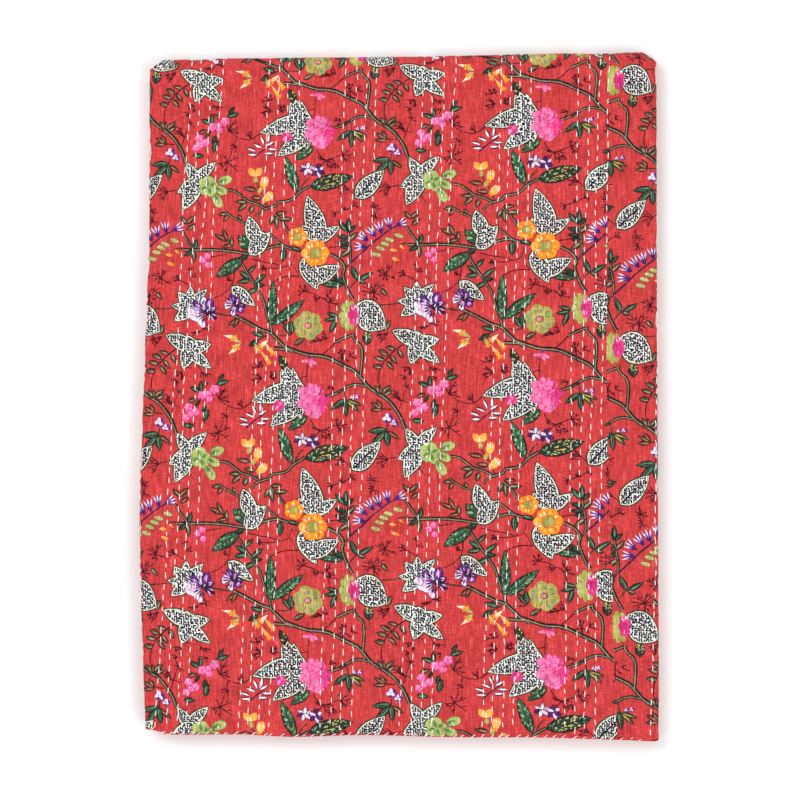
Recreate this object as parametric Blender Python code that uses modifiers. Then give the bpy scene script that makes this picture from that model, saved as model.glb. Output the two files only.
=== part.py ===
"""A kantha quilt, folded for a shelf and lying on its back.

The quilt is one rectangle of layered cotton, sewn through with rows of running stitch. It is folded three
times: both ends are turned in to the middle, it is closed like a book, and it is doubled over at the top.
That gives a stack of eight layers with folds on its left, right and top, and hems along the bottom.

Lengths are in metres and +Z is up. The origin is at the centre of the stack's underside, +X points to the
fold on the right, and +Y to the fold at the top.
"""

import math

import bmesh
import bpy

# The cloth
CLOTH = 0.0022  # thickness of the quilted layers
PITCH = 0.0032  # from one layer of the stack to the next
LAYERS = 4  # in each half of the stack
STACK = 2 * LAYERS * PITCH - (PITCH - CLOTH)  # height of the whole stack
MIDDLE = STACK / 2

# The stack's outline, seen from above: where each side runs, as a few points joined by a smooth curve
HALF_WIDTH = 0.2875  # nominal, and what the outline below wanders around
LEFT_FOLD = ((-0.3750, -0.2845), (-0.1600, -0.2909), (0.0200, -0.2864), (0.1760, -0.2806), (0.3850, -0.2802))
RIGHT_FOLD = ((-0.3850, 0.2906), (-0.3000, 0.2909), (0.0400, 0.2888), (0.3850, 0.2866))
TOP_FOLD = ((-0.2860, 0.3767), (-0.0750, 0.3794), (0.0600, 0.3809), (0.2860, 0.3852))
HEM = (
    (-0.2900, -0.3715),
    (-0.2760, -0.3725),
    (-0.2680, -0.3767),
    (-0.1800, -0.3771),
    (-0.1220, -0.3797),
    (-0.0440, -0.3778),
    (0.0570, -0.3800),
    (0.1690, -0.3808),
    (0.2360, -0.3830),
    (0.2900, -0.3852),
)
LEFT_CHAMFER = 0.0150  # how far the top fold draws in the outer layers at its corners
RIGHT_CHAMFER = 0.0132
INNER_CHAMFER = 0.0010  # and the inner ones

# Each layer sits a little inside the one above it: at the hem, and at the folds on the left
HEM_STEP = 0.0012
FOLD_STEP = 0.0008
FREE_END = 0.985  # where the two turned-in ends stop, as a share of the stack's width
PRESSED = 0.0001  # how near the surface it lies on the cloth is pressed level with it

# Panels of the quilt between its folds, in order along the cloth. Layer 0 lies next to the middle of the
# stack and layer 3 is outermost.
PANEL_LAYERS = (2, 3, 0, 1)
PANEL_COLUMNS = (4, 13, 4, 4)
BEND_COLUMNS = (4, 6, 4)
UPPER_ROWS = 12
BEND_ROWS = 8
LOWER_ROWS = 3

# Quilting on the face: rows of stitches lie in the valleys between low ridges
FACE_PANEL = 1
RIDGES_PER_COLUMN = 4
RIDGE = 0.0005

# Soft swells of the top layer: centre x, centre y, half length, half width, turn in degrees, height
SWELLS = (
    (-0.200, 0.250, 0.200, 0.055, 8, 0.0012),
    (0.120, 0.300, 0.180, 0.050, -6, 0.0010),
    (0.190, 0.130, 0.160, 0.060, 10, 0.0014),
    (-0.090, 0.090, 0.220, 0.050, -4, 0.0011),
    (-0.210, -0.100, 0.140, 0.070, 15, 0.0015),
    (0.080, -0.070, 0.200, 0.055, 5, 0.0012),
    (0.210, -0.200, 0.140, 0.060, -12, 0.0014),
    (-0.060, -0.260, 0.220, 0.050, 3, 0.0013),
)


def curve_through(points, at):
    """The height at one place of a smooth curve through the points, which are level beyond its ends."""
    if at <= points[0][0]:
        return points[0][1]
    if at >= points[-1][0]:
        return points[-1][1]
    last = len(points) - 2
    index = next(i for i in range(last + 1) if at <= points[i + 1][0])

    def slope(i):
        before, after = points[max(i - 1, 0)], points[min(i + 1, last + 1)]
        return (after[1] - before[1]) / (after[0] - before[0])

    (x0, y0), (x1, y1) = points[index], points[index + 1]
    span = x1 - x0
    s = (at - x0) / span
    return (
        y0 * (1 + 2 * s) * (1 - s) ** 2
        + y1 * s**2 * (3 - 2 * s)
        + slope(index) * span * s * (1 - s) ** 2
        - slope(index + 1) * span * s**2 * (1 - s)
    )


def level(layer):
    """Height of a layer's middle surface above the middle of the stack."""
    return (layer + 0.5) * PITCH


def cross_section():
    """The folded section across the stack, one entry for each column line of the cloth.

    An entry is the share of the way from the left bends to the right bend, how far the cloth bulges past
    them, and the height above the middle of the stack.
    """
    lines = []
    for panel, layer in enumerate(PANEL_LAYERS):
        runs_right = panel % 2 == 1
        columns = PANEL_COLUMNS[panel]
        for step in range(columns + 1):
            part = step / columns
            across = part if runs_right else 1 - part
            lines.append((min(across, FREE_END) if panel in (0, 3) else across, 0.0, level(layer)))
        if panel < len(BEND_COLUMNS):
            start, end = level(layer), level(PANEL_LAYERS[panel + 1])
            centre, radius = (start + end) / 2, abs(end - start) / 2
            for step in range(1, BEND_COLUMNS[panel]):
                angle = math.pi * step / BEND_COLUMNS[panel]
                bulge = radius * math.sin(angle) * (1 if runs_right else -1)
                lines.append((float(runs_right), bulge, centre + (start - centre) * math.cos(angle)))
    return lines


def long_section():
    """One entry for each row line, from the upper hem over the top fold to the lower hem: the share of the
    way from the fold to the hem, and the angle turned around the fold."""
    upper = [(1 - step / UPPER_ROWS, 0.0) for step in range(UPPER_ROWS)]
    bend = [(0.0, math.pi * step / BEND_ROWS) for step in range(BEND_ROWS)]
    lower = [(step / LOWER_ROWS, math.pi) for step in range(LOWER_ROWS + 1)]
    return upper + bend + lower


def swell(x, y):
    """How far the top layer stands off the one below, where the cloth isn't pressed flat."""
    height = 0.0
    for cx, cy, half_length, half_width, degrees, top in SWELLS:
        turn = math.radians(degrees)
        along = (x - cx) * math.cos(turn) + (y - cy) * math.sin(turn)
        aside = (y - cy) * math.cos(turn) - (x - cx) * math.sin(turn)
        height += top * math.exp(-((along / half_length) ** 2) - (aside / half_width) ** 2)
    return height


def folded(across, bulge, height, along, turn):
    """Where a point of the cloth's middle surface lies in the folded stack."""
    depth = level(LAYERS - 1) - height
    from_top = depth / PITCH
    inset = FOLD_STEP * from_top
    # Where the point lies across sets the top and bottom edges, and then its y sets the sides.
    rough_x = HALF_WIDTH * (2 * across - 1)
    fold_y = curve_through(TOP_FOLD, rough_x) - level(LAYERS - 1) - CLOTH / 2
    hem_y = curve_through(HEM, rough_x) + HEM_STEP * (from_top + turn / math.pi)
    reach = height * math.sin(turn)
    y = fold_y + (hem_y - fold_y) * along + reach
    outer = min(max((height - level(1)) / PITCH, 0.0), 1.0)
    left_chamfer, right_chamfer = (
        INNER_CHAMFER + (chamfer - INNER_CHAMFER) * outer for chamfer in (LEFT_CHAMFER, RIGHT_CHAMFER)
    )
    small_bend, big_bend = PITCH / 2 + CLOTH / 2, 1.5 * PITCH + CLOTH / 2
    left = curve_through(LEFT_FOLD, y) + small_bend + inset + left_chamfer * math.sin(turn)
    right = curve_through(RIGHT_FOLD, y) - big_bend - right_chamfer * math.sin(turn)
    # Where a fold runs aslant over the top, it bulges more, so that the cloth inside it isn't pinched.
    chamfer = right_chamfer if bulge > 0 else left_chamfer
    slant = chamfer * math.cos(turn) / height if 0 < turn < math.pi else 0.0
    x = left + (right - left) * across + bulge * math.hypot(1, slant)
    # Only the upper half's top layer swells: below it the layers are pressed flat.
    loose = max(0.0, 1 - from_top) * math.cos(turn / 2) ** 2
    z = MIDDLE + height * math.cos(turn) + swell(x, y) * loose
    return x, y, z


def quilted_sheet():
    """The flat cloth as a grid of columns and rows, finer across the face so that its ridges show."""
    columns, rows = len(cross_section()) - 1, len(long_section()) - 1
    bpy.ops.mesh.primitive_grid_add(x_subdivisions=columns, y_subdivisions=rows, size=1)
    sheet = bpy.context.object
    bm = bmesh.new()
    bm.from_mesh(sheet.data)
    for vert in bm.verts:
        vert.co.x = round((vert.co.x + 0.5) * columns)
        vert.co.y = round((0.5 - vert.co.y) * rows)
    first = sum(PANEL_COLUMNS[:FACE_PANEL]) + sum(BEND_COLUMNS[:FACE_PANEL])
    last = first + PANEL_COLUMNS[FACE_PANEL]
    across_face = [
        edge
        for edge in bm.edges
        if edge.verts[0].co.y == edge.verts[1].co.y < UPPER_ROWS
        and all(first <= vert.co.x <= last for vert in edge.verts)
    ]
    # Valleys and crests take turns, so every ridge has two steps.
    steps = 2 * RIDGES_PER_COLUMN
    bmesh.ops.subdivide_edges(bm, edges=across_face, cuts=steps - 1, use_grid_fill=True)
    section, length = cross_section(), long_section()
    for vert in bm.verts:
        step, row = round(vert.co.x * steps), round(vert.co.y)
        left = min(step // steps, columns - 1)
        share = step / steps - left
        values = [a + (b - a) * share for a, b in zip(section[left], section[left + 1])]
        x, y, z = folded(*values, *length[row])
        is_crest = (step - first * steps) % 2 == 1
        vert.co = (x, y, z + (RIDGE if is_crest else 0.0))
    bmesh.ops.triangulate(bm, faces=bm.faces)
    bm.to_mesh(sheet.data)
    bm.free()
    return sheet


def solid_cloth(sheet):
    """The sheet at the cloth's thickness, with its underside level where the stack's weight presses on it."""
    thickness = sheet.modifiers.new("cloth", "SOLIDIFY")
    thickness.thickness = CLOTH
    thickness.offset = 0
    evaluated = sheet.evaluated_get(bpy.context.evaluated_depsgraph_get())
    cloth = bpy.data.meshes.new_from_object(evaluated)
    bpy.data.objects.remove(sheet)
    for vert in cloth.vertices:
        if vert.co.z < PRESSED:
            vert.co.z = 0.0
    return bpy.data.objects.new("quilt", cloth)


def printed_cotton():
    """Washed red cotton."""
    material = bpy.data.materials.new("printed_cotton")
    material.use_nodes = True
    surface = material.node_tree.nodes["Principled BSDF"]
    surface.inputs["Base Color"].default_value = (0.62, 0.045, 0.055, 1)
    surface.inputs["Roughness"].default_value = 0.9
    surface.inputs["Metallic"].default_value = 0.0
    return material


def main():
    for thing in list(bpy.data.objects):
        bpy.data.objects.remove(thing)
    home = bpy.data.collections.new("kantha_quilt")
    bpy.context.scene.collection.children.link(home)

    quilt = solid_cloth(quilted_sheet())
    home.objects.link(quilt)
    quilt.data.name = "quilt"
    quilt.data.materials.append(printed_cotton())
    quilt.data.shade_smooth()


main()
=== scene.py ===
"""The looks of a folded kantha quilt: printed cotton, rows of running stitch and whipped hems.

Lengths are in metres unless a name says otherwise. The cloth is one sheet. A place on it is (u, v): u runs
across the folds and v from the upper hem over the top fold to the lower hem, both in metres along the cloth's
outer side, and (0, 0) is the middle of the face. The print and the stitches are laid out in steps of 1.12 mm
as they are seen from above, x to the right and y down.
"""

import bisect
import math
import random

import bpy
import numpy as np
from mathutils.bvhtree import BVHTree
from mathutils.geometry import delaunay_2d_cdt
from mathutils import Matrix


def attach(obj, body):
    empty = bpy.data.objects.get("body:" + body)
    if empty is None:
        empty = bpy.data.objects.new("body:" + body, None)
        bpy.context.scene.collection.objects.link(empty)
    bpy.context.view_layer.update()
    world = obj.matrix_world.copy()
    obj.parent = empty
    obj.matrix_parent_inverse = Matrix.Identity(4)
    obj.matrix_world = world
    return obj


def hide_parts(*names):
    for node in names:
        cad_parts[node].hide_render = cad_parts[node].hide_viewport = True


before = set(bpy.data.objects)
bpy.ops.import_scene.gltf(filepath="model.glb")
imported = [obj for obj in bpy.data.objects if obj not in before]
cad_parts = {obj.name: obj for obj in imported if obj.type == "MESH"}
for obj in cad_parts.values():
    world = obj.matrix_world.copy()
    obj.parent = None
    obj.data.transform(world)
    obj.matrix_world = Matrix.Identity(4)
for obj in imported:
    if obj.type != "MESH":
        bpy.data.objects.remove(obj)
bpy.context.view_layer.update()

# The cloth and its folds, close to those of the solid
CLOTH = 0.0022  # thickness
PITCH = 0.0032  # from one layer to the next
LAYERS = 4  # in each half of the stack
MIDDLE = (2 * LAYERS * PITCH - (PITCH - CLOTH)) / 2
HALF_WIDTH = 0.2875
LEFT_FOLD = ((-0.3750, -0.2845), (-0.1600, -0.2909), (0.0200, -0.2864), (0.1760, -0.2806), (0.3850, -0.2802))
RIGHT_FOLD = ((-0.3850, 0.2910), (-0.3000, 0.2911), (0.0400, 0.2894), (0.3850, 0.2884))
TOP_FOLD = ((-0.2860, 0.3784), (-0.0750, 0.3810), (0.0600, 0.3826), (0.2860, 0.3868))
HEM = (
    (-0.2900, -0.3715),
    (-0.2760, -0.3725),
    (-0.2680, -0.3767),
    (-0.1800, -0.3771),
    (-0.1220, -0.3797),
    (-0.0440, -0.3778),
    (0.0570, -0.3800),
    (0.1690, -0.3808),
    (0.2360, -0.3830),
    (0.2900, -0.3852),
)
LEFT_CHAMFER = 0.0150
RIGHT_CHAMFER = 0.0112
INNER_CHAMFER = 0.0010
HEM_STEP = 0.0012
FOLD_STEP = 0.0008
FREE_END = 0.985
# Soft swells of the top layer: centre x, centre y, half length, half width, turn in degrees, height
SWELLS = (
    (-0.200, 0.250, 0.200, 0.055, 8, 0.0012),
    (0.120, 0.300, 0.180, 0.050, -6, 0.0010),
    (0.190, 0.130, 0.160, 0.060, 10, 0.0014),
    (-0.090, 0.090, 0.220, 0.050, -4, 0.0011),
    (-0.210, -0.100, 0.140, 0.070, 15, 0.0015),
    (0.080, -0.070, 0.200, 0.055, 5, 0.0012),
    (0.210, -0.200, 0.140, 0.060, -12, 0.0014),
    (-0.060, -0.260, 0.220, 0.050, 3, 0.0013),
)

# The level part of the face between its folds: its width, its length, and the y past which its sides run
# straight on
PANEL = 0.566
FACE = 0.745
SIDES_END = 0.38

# How far the outermost layers' middles are from the middle of the stack, then the radii of the bends on the
# cloth's outer side, and the lengths of cloth in them
TOP_LEVEL = (LAYERS - 0.5) * PITCH
SMALL_BEND = PITCH / 2 + CLOTH / 2
BIG_BEND = 1.5 * PITCH + CLOTH / 2
TOP_BEND = TOP_LEVEL + CLOTH / 2
SMALL_ARC, BIG_ARC, TOP_ARC = (math.pi * radius for radius in (SMALL_BEND, BIG_BEND, TOP_BEND))

# The print's chart
STEP = 0.00112
REPEAT = (232, 271)  # steps across and down
MIDDLE_STEP = (399.24, 396.99)  # where the chart's steps have the middle of the face


def through(points, at):
    """Heights of a smooth curve through the points, which are level beyond its ends."""
    xs, ys = np.array(points).T
    before = np.maximum(np.arange(len(xs)) - 1, 0)
    after = np.minimum(np.arange(len(xs)) + 1, len(xs) - 1)
    slopes = (ys[after] - ys[before]) / (xs[after] - xs[before])
    at = np.clip(at, xs[0], xs[-1])
    i = np.clip(np.searchsorted(xs, at, side="right") - 1, 0, len(xs) - 2)
    span = xs[i + 1] - xs[i]
    s = (at - xs[i]) / span
    level = ys[i] * (1 + 2 * s) * (1 - s) ** 2 + ys[i + 1] * s**2 * (3 - 2 * s)
    return level + span * (slopes[i] * s * (1 - s) ** 2 - slopes[i + 1] * s**2 * (1 - s))


# The folded sheet

# Stretches of the cloth across, from the first turned-in end to the second: the layer at the start and at
# the end, the shares of the width there, and the length
STRETCHES = (
    (2, 2, FREE_END, 0.0, FREE_END * PANEL),
    (2, 3, 0.0, 0.0, SMALL_ARC),
    (3, 3, 0.0, 1.0, PANEL),
    (3, 0, 1.0, 1.0, BIG_ARC),
    (0, 0, 1.0, 0.0, PANEL),
    (0, 1, 0.0, 0.0, SMALL_ARC),
    (1, 1, 0.0, FREE_END, FREE_END * PANEL),
)
U_LINES = np.cumsum([0.0] + [stretch[-1] for stretch in STRETCHES]) - STRETCHES[0][-1] - SMALL_ARC - PANEL / 2
V_LINES = np.cumsum([-FACE / 2, FACE, TOP_ARC, FACE])


def folded(u, v):
    """Where places of the cloth's middle surface lie in the folded stack."""
    across, bulge, height = np.zeros_like(u), np.zeros_like(u), np.zeros_like(u)
    for number, (first, last, start, end, length) in enumerate(STRETCHES):
        here = (u >= U_LINES[number]) if number else (u > -np.inf)
        part = np.clip((u[here] - U_LINES[number]) / length, 0 if number else -1, 1)
        low, high = (first + 0.5) * PITCH, (last + 0.5) * PITCH
        turn = math.pi * part * (first != last)
        across[here] = start + (end - start) * part
        height[here] = (low + high) / 2 + (low - high) / 2 * np.cos(turn)
        bulge[here] = abs(low - high) / 2 * np.sin(turn) * (1 if start else -1)
    along = np.where(v < V_LINES[2], (V_LINES[1] - v) / FACE, (v - V_LINES[2]) / FACE)
    along = np.where((v > V_LINES[1]) & (v < V_LINES[2]), 0.0, along)
    turn = np.clip((v - V_LINES[1]) / TOP_BEND, 0, math.pi)
    from_top = (TOP_LEVEL - height) / PITCH
    rough_x = HALF_WIDTH * (2 * across - 1)
    fold_y = through(TOP_FOLD, rough_x) - TOP_LEVEL - CLOTH / 2
    hem_y = through(HEM, rough_x) + HEM_STEP * (from_top + turn / math.pi)
    y = fold_y + (hem_y - fold_y) * along + height * np.sin(turn)
    outer = np.clip((height / PITCH - 0.5) / 2, 0, 1)
    left_chamfer = INNER_CHAMFER + (LEFT_CHAMFER - INNER_CHAMFER) * outer
    right_chamfer = INNER_CHAMFER + (RIGHT_CHAMFER - INNER_CHAMFER) * outer
    left = through(LEFT_FOLD, y) + SMALL_BEND + FOLD_STEP * from_top + left_chamfer * np.sin(turn)
    right = through(RIGHT_FOLD, y) - BIG_BEND - right_chamfer * np.sin(turn)
    chamfer = np.where(bulge > 0, right_chamfer, left_chamfer)
    slant = chamfer * np.cos(turn) * np.sin(turn) ** 0.5 / height
    x = left + (right - left) * across + bulge * np.hypot(1, slant)
    swell = np.zeros_like(x)
    for cx, cy, half_length, half_width, degrees, top in SWELLS:
        c, s = math.cos(math.radians(degrees)), math.sin(math.radians(degrees))
        along_it = (x - cx) * c + (y - cy) * s
        beside_it = (y - cy) * c - (x - cx) * s
        swell += top * np.exp(-((along_it / half_length) ** 2) - (beside_it / half_width) ** 2)
    loose = np.maximum(0, 1 - from_top) * np.cos(turn / 2) ** 2
    return np.stack([x, y, MIDDLE + height * np.cos(turn) + swell * loose], 1)


def side(u, v, lift):
    """Places that lie off the middle surface by a lift, positive towards the printed side."""
    nudge = 0.0001
    across = folded(u + nudge, v) - folded(u - nudge, v)
    along = folded(u, v + nudge) - folded(u, v - nudge)
    out = np.cross(across, along)
    out /= np.linalg.norm(out, axis=1)[:, None]
    return folded(u, v) + out * np.reshape(lift, (-1, 1))


def sides_at(y, fold_y):
    """Where the face's left and right bends start, as seen from above."""
    drawn_in = np.sin(np.clip((y - fold_y) / TOP_BEND, 0, math.pi))
    level_y = np.minimum(y, SIDES_END)
    left = through(LEFT_FOLD, level_y) + SMALL_BEND + LEFT_CHAMFER * drawn_in
    right = through(RIGHT_FOLD, level_y) - BIG_BEND - RIGHT_CHAMFER * drawn_in
    return left, right


def ends_at(share):
    """Where the top fold starts and the hem is, for a share of the way across."""
    rough_x = HALF_WIDTH * (2 * np.clip(share, 0, 1) - 1)
    return through(TOP_FOLD, rough_x) - TOP_BEND, through(HEM, rough_x)


def cloth_place(x, y):
    """(u, v) of places seen from above. Beyond the folds x and y go on along the cloth."""
    fold_y, hem_y = ends_at((x + HALF_WIDTH) / (2 * HALF_WIDTH))
    left, right = sides_at(y, fold_y)
    share = (x - left) / (right - left)
    u = np.where(share < 0, x - left, np.where(share > 1, x - right + PANEL, share * PANEL)) - PANEL / 2
    v = np.where(y > fold_y, y - fold_y + FACE, (y - hem_y) / (fold_y - hem_y) * FACE) - FACE / 2
    return u, v


def seen_place(u, v):
    """The opposite of cloth_place."""
    share = (u + PANEL / 2) / PANEL
    part = (v + FACE / 2) / FACE
    x = HALF_WIDTH * (2 * share - 1)
    for _ in range(3):
        fold_y, hem_y = ends_at((x + HALF_WIDTH) / (2 * HALF_WIDTH))
        y = np.where(part > 1, fold_y + v - FACE / 2, hem_y + (fold_y - hem_y) * part)
        left, right = sides_at(y, fold_y)
        x = np.where(share < 0, left + u + PANEL / 2, left + (right - left) * share)
        x = np.where(share > 1, right + u - PANEL / 2, x)
    return x, y


def to_metres(x, y):
    return (np.asarray(x) - MIDDLE_STEP[0]) * STEP, (MIDDLE_STEP[1] - np.asarray(y)) * STEP


def to_steps(x, y):
    return MIDDLE_STEP[0] + x / STEP, MIDDLE_STEP[1] - y / STEP


# Rows of running stitch, in steps. Four white rows and then four red ones take turns across the quilt, and
# all lean a little, because the quilt was folded a little aslant.
ROWS_TOP, ROWS_BOTTOM = 60, 730  # where the next values hold
FIRST_ROW = (192, 156)
GROUP_PITCH = (77.4, 81.5)
WHITE_PITCH = 10.3
WHITE_ROWS = 4
RED_ROWS = 4
GROUP = WHITE_ROWS + RED_ROWS
LAST_GROUP, LAST_WIDER = 5, 7  # how much wider the last group of red rows is
STITCH_PITCH = 10.7
STITCH_LENGTH = 7.2
NEXT_ROW_SHIFT = 0.618  # how far the stitches are shifted from row to row, as a share of their pitch
# How unevenly the stitches are sewn: the stray of their places along and beside the row, the shares of the
# length that they have, and their slant with its stray
STRAY_ALONG, STRAY_ASIDE = 0.6, 0.25
LENGTH_SHARES = (0.74, 1.2)
SLANT = (0.03, 0.07)
SEWN_PAST_FOLDS = 0.0015  # metres of cloth past the folds and from the hems


def wobble(row, y):
    """How far a hand-sewn row strays at y, in steps."""
    return 0.75 * np.sin(y / 41 + 2.1 * row) + 0.45 * np.sin(y / 17 + 1.3 * row) + 0.5 * np.sin(5.7 * row)


def first_row(y):
    """Where the first row runs, and how far it is from one group of rows to the next, in steps."""
    part = (y - ROWS_TOP) / (ROWS_BOTTOM - ROWS_TOP)
    first = FIRST_ROW[0] + (FIRST_ROW[1] - FIRST_ROW[0]) * part
    return first, GROUP_PITCH[0] + (GROUP_PITCH[1] - GROUP_PITCH[0]) * part


def row_x(row, y):
    """Where a row runs, in steps. Between two whole rows it is between the two."""
    first, pitch = first_row(y)
    group = np.floor(row / GROUP)
    in_group = row - GROUP * group
    last_white = WHITE_ROWS - 1
    red_pitch = (pitch - last_white * WHITE_PITCH) / (RED_ROWS + 1)
    x = np.minimum(in_group, last_white) * WHITE_PITCH + np.maximum(in_group - last_white, 0) * red_pitch
    x = x + LAST_WIDER * np.clip((row - LAST_GROUP * GROUP - last_white) / (RED_ROWS + 1), 0, 1)
    low = np.floor(row)
    stray = wobble(low, y) * (low + 1 - row) + wobble(low + 1, y) * (row - low)
    return first + group * pitch + x + stray


def row_at(x, y):
    """The row that runs through a place, or the share of the way between two."""
    first, pitch = first_row(y)
    row = (x - first) / pitch * GROUP
    for _ in range(6):
        row = row + (x - row_x(row, y)) / pitch * GROUP
    return row


# The relief of the printed side
NOISE_CELLS = 64  # the noise repeats after so many bumps
ROW_RIDGE = 0.00075
ROW_GATHER = 0.0004
CREASE = 0.0008
FADE = 0.008  # the relief fades out over this much cloth,
PAST_FOLD = 0.006  # which ends so far past the folds at the sides
PAST_HEM = 0.004  # and past the hem
PRESSED_OUT = 0.6  # the share of it that the stack's weight presses out of the underside


def noise(x, y, seed):
    """Smooth noise from -1 to 1, about one bump a unit."""
    table = np.random.default_rng(seed).uniform(-1, 1, (NOISE_CELLS, NOISE_CELLS))
    i, j = np.floor(x).astype(int), np.floor(y).astype(int)
    s, t = x - i, y - j
    s, t = s * s * (3 - 2 * s), t * t * (3 - 2 * t)
    i, j, next_i, next_j = (number % NOISE_CELLS for number in (i, j, i + 1, j + 1))
    near = table[i, j] * (1 - s) + table[next_i, j] * s
    far = table[i, next_j] * (1 - s) + table[next_i, next_j] * s
    return near * (1 - t) + far * t


def relief(u, v):
    """How far the printed side stands proud of the smooth sheet: ridges between the rows, and creases."""
    x, y = to_steps(*seen_place(u, v))
    row = row_at(x, y)
    between_rows = np.sin(math.pi * row) ** 2
    ridge = (between_rows - 0.5) * (0.75 + 0.5 * noise(row * 0.7, y / 14, 3))
    gather = noise(row * 0.5, y / 5.2, 5) * between_rows
    crease = noise(x / 46, y / 19, 7) + 0.5 * noise(x / 21, y / 9, 9)
    height = ROW_RIDGE * ridge + ROW_GATHER * gather + CREASE * crease
    to_fold = np.minimum(u + PANEL / 2, PANEL / 2 - u) + PAST_FOLD
    shown = np.clip(np.minimum(to_fold, v + FACE / 2 + PAST_HEM) / FADE, 0, 1)
    below = np.clip((v - FACE / 2) / TOP_ARC, 0, 1)
    return height * shown * (1 - PRESSED_OUT * below)


# The print. Each shape is an outline in steps with a colour, and a second colour that it reaches at some
# distance from a focus. Later shapes lie over earlier ones.


def rgb(red, green, blue):
    """A screen colour as linear light."""
    shares = (part / 255 for part in (red, green, blue))
    return tuple(share / 12.92 if share < 0.0405 else ((share + 0.055) / 1.055) ** 2.4 for share in shares)


INKS = {
    "ground": rgb(196, 57, 58),
    "vine_edge": rgb(30, 26, 20),
    "vine": rgb(166, 142, 112),
    "sage": rgb(138, 138, 112),
    "dark_vine": rgb(60, 48, 38),
    "twig": rgb(70, 4, 22),
    "plum": rgb(70, 20, 60),
    "leaf_edge": rgb(36, 30, 26),
    "deep": rgb(32, 56, 44),
    "green": rgb(50, 98, 68),
    "mid_green": rgb(104, 152, 116),
    "pale_green": rgb(150, 196, 140),
    "olive": rgb(98, 92, 64),
    "pale_olive": rgb(184, 174, 142),
    "brown": rgb(126, 78, 52),
    "pale_brown": rgb(194, 134, 106),
    "brown_edge": rgb(64, 34, 26),
    "yellow": rgb(206, 190, 72),
    "dotted_edge": rgb(54, 50, 36),
    "cream": rgb(230, 234, 212),
    "white": rgb(240, 240, 236),
    "ink": rgb(18, 20, 30),
    "bean": rgb(160, 148, 76),
    "pale_bean": rgb(200, 186, 120),
    "lime": rgb(136, 160, 78),
    "pale_lime": rgb(184, 192, 114),
    "moss": rgb(162, 158, 74),
    "pale_moss": rgb(186, 182, 104),
    "dusty_pink": rgb(214, 130, 130),
    "rose": rgb(222, 60, 130),
    "pale_rose": rgb(241, 134, 184),
    "magenta": rgb(190, 30, 104),
    "orange": rgb(246, 146, 26),
    "pale_orange": rgb(252, 196, 108),
    "rust": rgb(214, 92, 20),
    "purple": rgb(98, 34, 126),
    "dark_purple": rgb(42, 18, 58),
    "lilac": rgb(214, 160, 214),
}

SHAPES = []  # all the shapes of the print, in order


def size_of(outline):
    """An outline's area, which is negative if it runs the other way round."""
    x, y = outline.T
    return (np.dot(x, np.roll(y, -1)) - np.dot(y, np.roll(x, -1))) / 2


def draw(outline, ink, second=None, focus=None, reach=1.0, dots=0.0):
    outline = np.asarray(outline, float)
    outline = outline if size_of(outline) > 0 else outline[::-1]
    SHAPES.append((outline, ink, second or ink, focus, reach, dots))


def turned(points, degrees):
    """Points along and aside of a direction, which is 0 to the right and 90 up."""
    c, s = math.cos(math.radians(degrees)), math.sin(math.radians(degrees))
    along, aside = np.asarray(points, float).T
    return np.stack([along * c - aside * s, -(along * s + aside * c)], 1)


def ahead(x, y, degrees, distance):
    return x + distance * math.cos(math.radians(degrees)), y - distance * math.sin(math.radians(degrees))


def lens(x, y, degrees, length, width, grow=0.0, points=6, bend=0.0, fullest=0.85):
    """The outline of a leaf from its base. The lower fullest is, the nearer to the base it is widest."""
    s = np.linspace(0, 1, points + 1)
    half = (width / 2 + grow) * np.sin(math.pi * s**fullest) ** 0.8
    along = s * (length + 2 * grow) - grow
    middle = bend * length * np.sin(math.pi * s)
    upper = np.stack([along, middle + half], 1)
    lower = np.stack([along, middle - half], 1)[-2:0:-1]
    return turned(np.concatenate([upper, lower]), degrees) + (x, y)


def oval(x, y, degrees, along, aside, points=10):
    angles = np.linspace(0, 2 * math.pi, points, endpoint=False)
    return turned(np.stack([along * np.cos(angles), aside * np.sin(angles)], 1), degrees) + (x, y)


def ruffled(x, y, degrees, along, aside, lobes, depth, points=5):
    """A round outline with lobes, like a flower's."""
    angles = np.linspace(0, 2 * math.pi, lobes * points, endpoint=False)
    out = 1 - depth + depth * np.abs(np.sin(angles * lobes / 2)) ** 0.7
    return turned(np.stack([along * out * np.cos(angles), aside * out * np.sin(angles)], 1), degrees) + (x, y)


def smooth_line(points, most=4.5):
    """Points close together on a smooth curve through the given ones."""
    points = np.asarray(points, float)
    if len(points) == 2:
        return points
    gaps = np.linalg.norm(np.diff(points, axis=0), axis=1)
    at = np.concatenate([[0], np.cumsum(gaps)])
    fine = np.linspace(0, at[-1], max(3, int(at[-1] / most) + 1))
    return np.stack([through(list(zip(at, points[:, axis])), fine) for axis in (0, 1)], 1)


def ribbon(points, width, end_width=None):
    """A band along a smooth line, which narrows to end_width."""
    line = smooth_line(points)
    ahead_of = np.gradient(line, axis=0)
    ahead_of /= np.linalg.norm(ahead_of, axis=1)[:, None]
    aside = np.stack([-ahead_of[:, 1], ahead_of[:, 0]], 1)
    widths = np.linspace(width, width if end_width is None else end_width, len(line))[:, None] / 2
    return np.concatenate([line + aside * widths, (line - aside * widths)[::-1]])


def stroke(x, y, degrees, length, width, ink, second=None):
    draw(lens(x, y, degrees, length, width, points=2), ink, second, (x, y), length)


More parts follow.
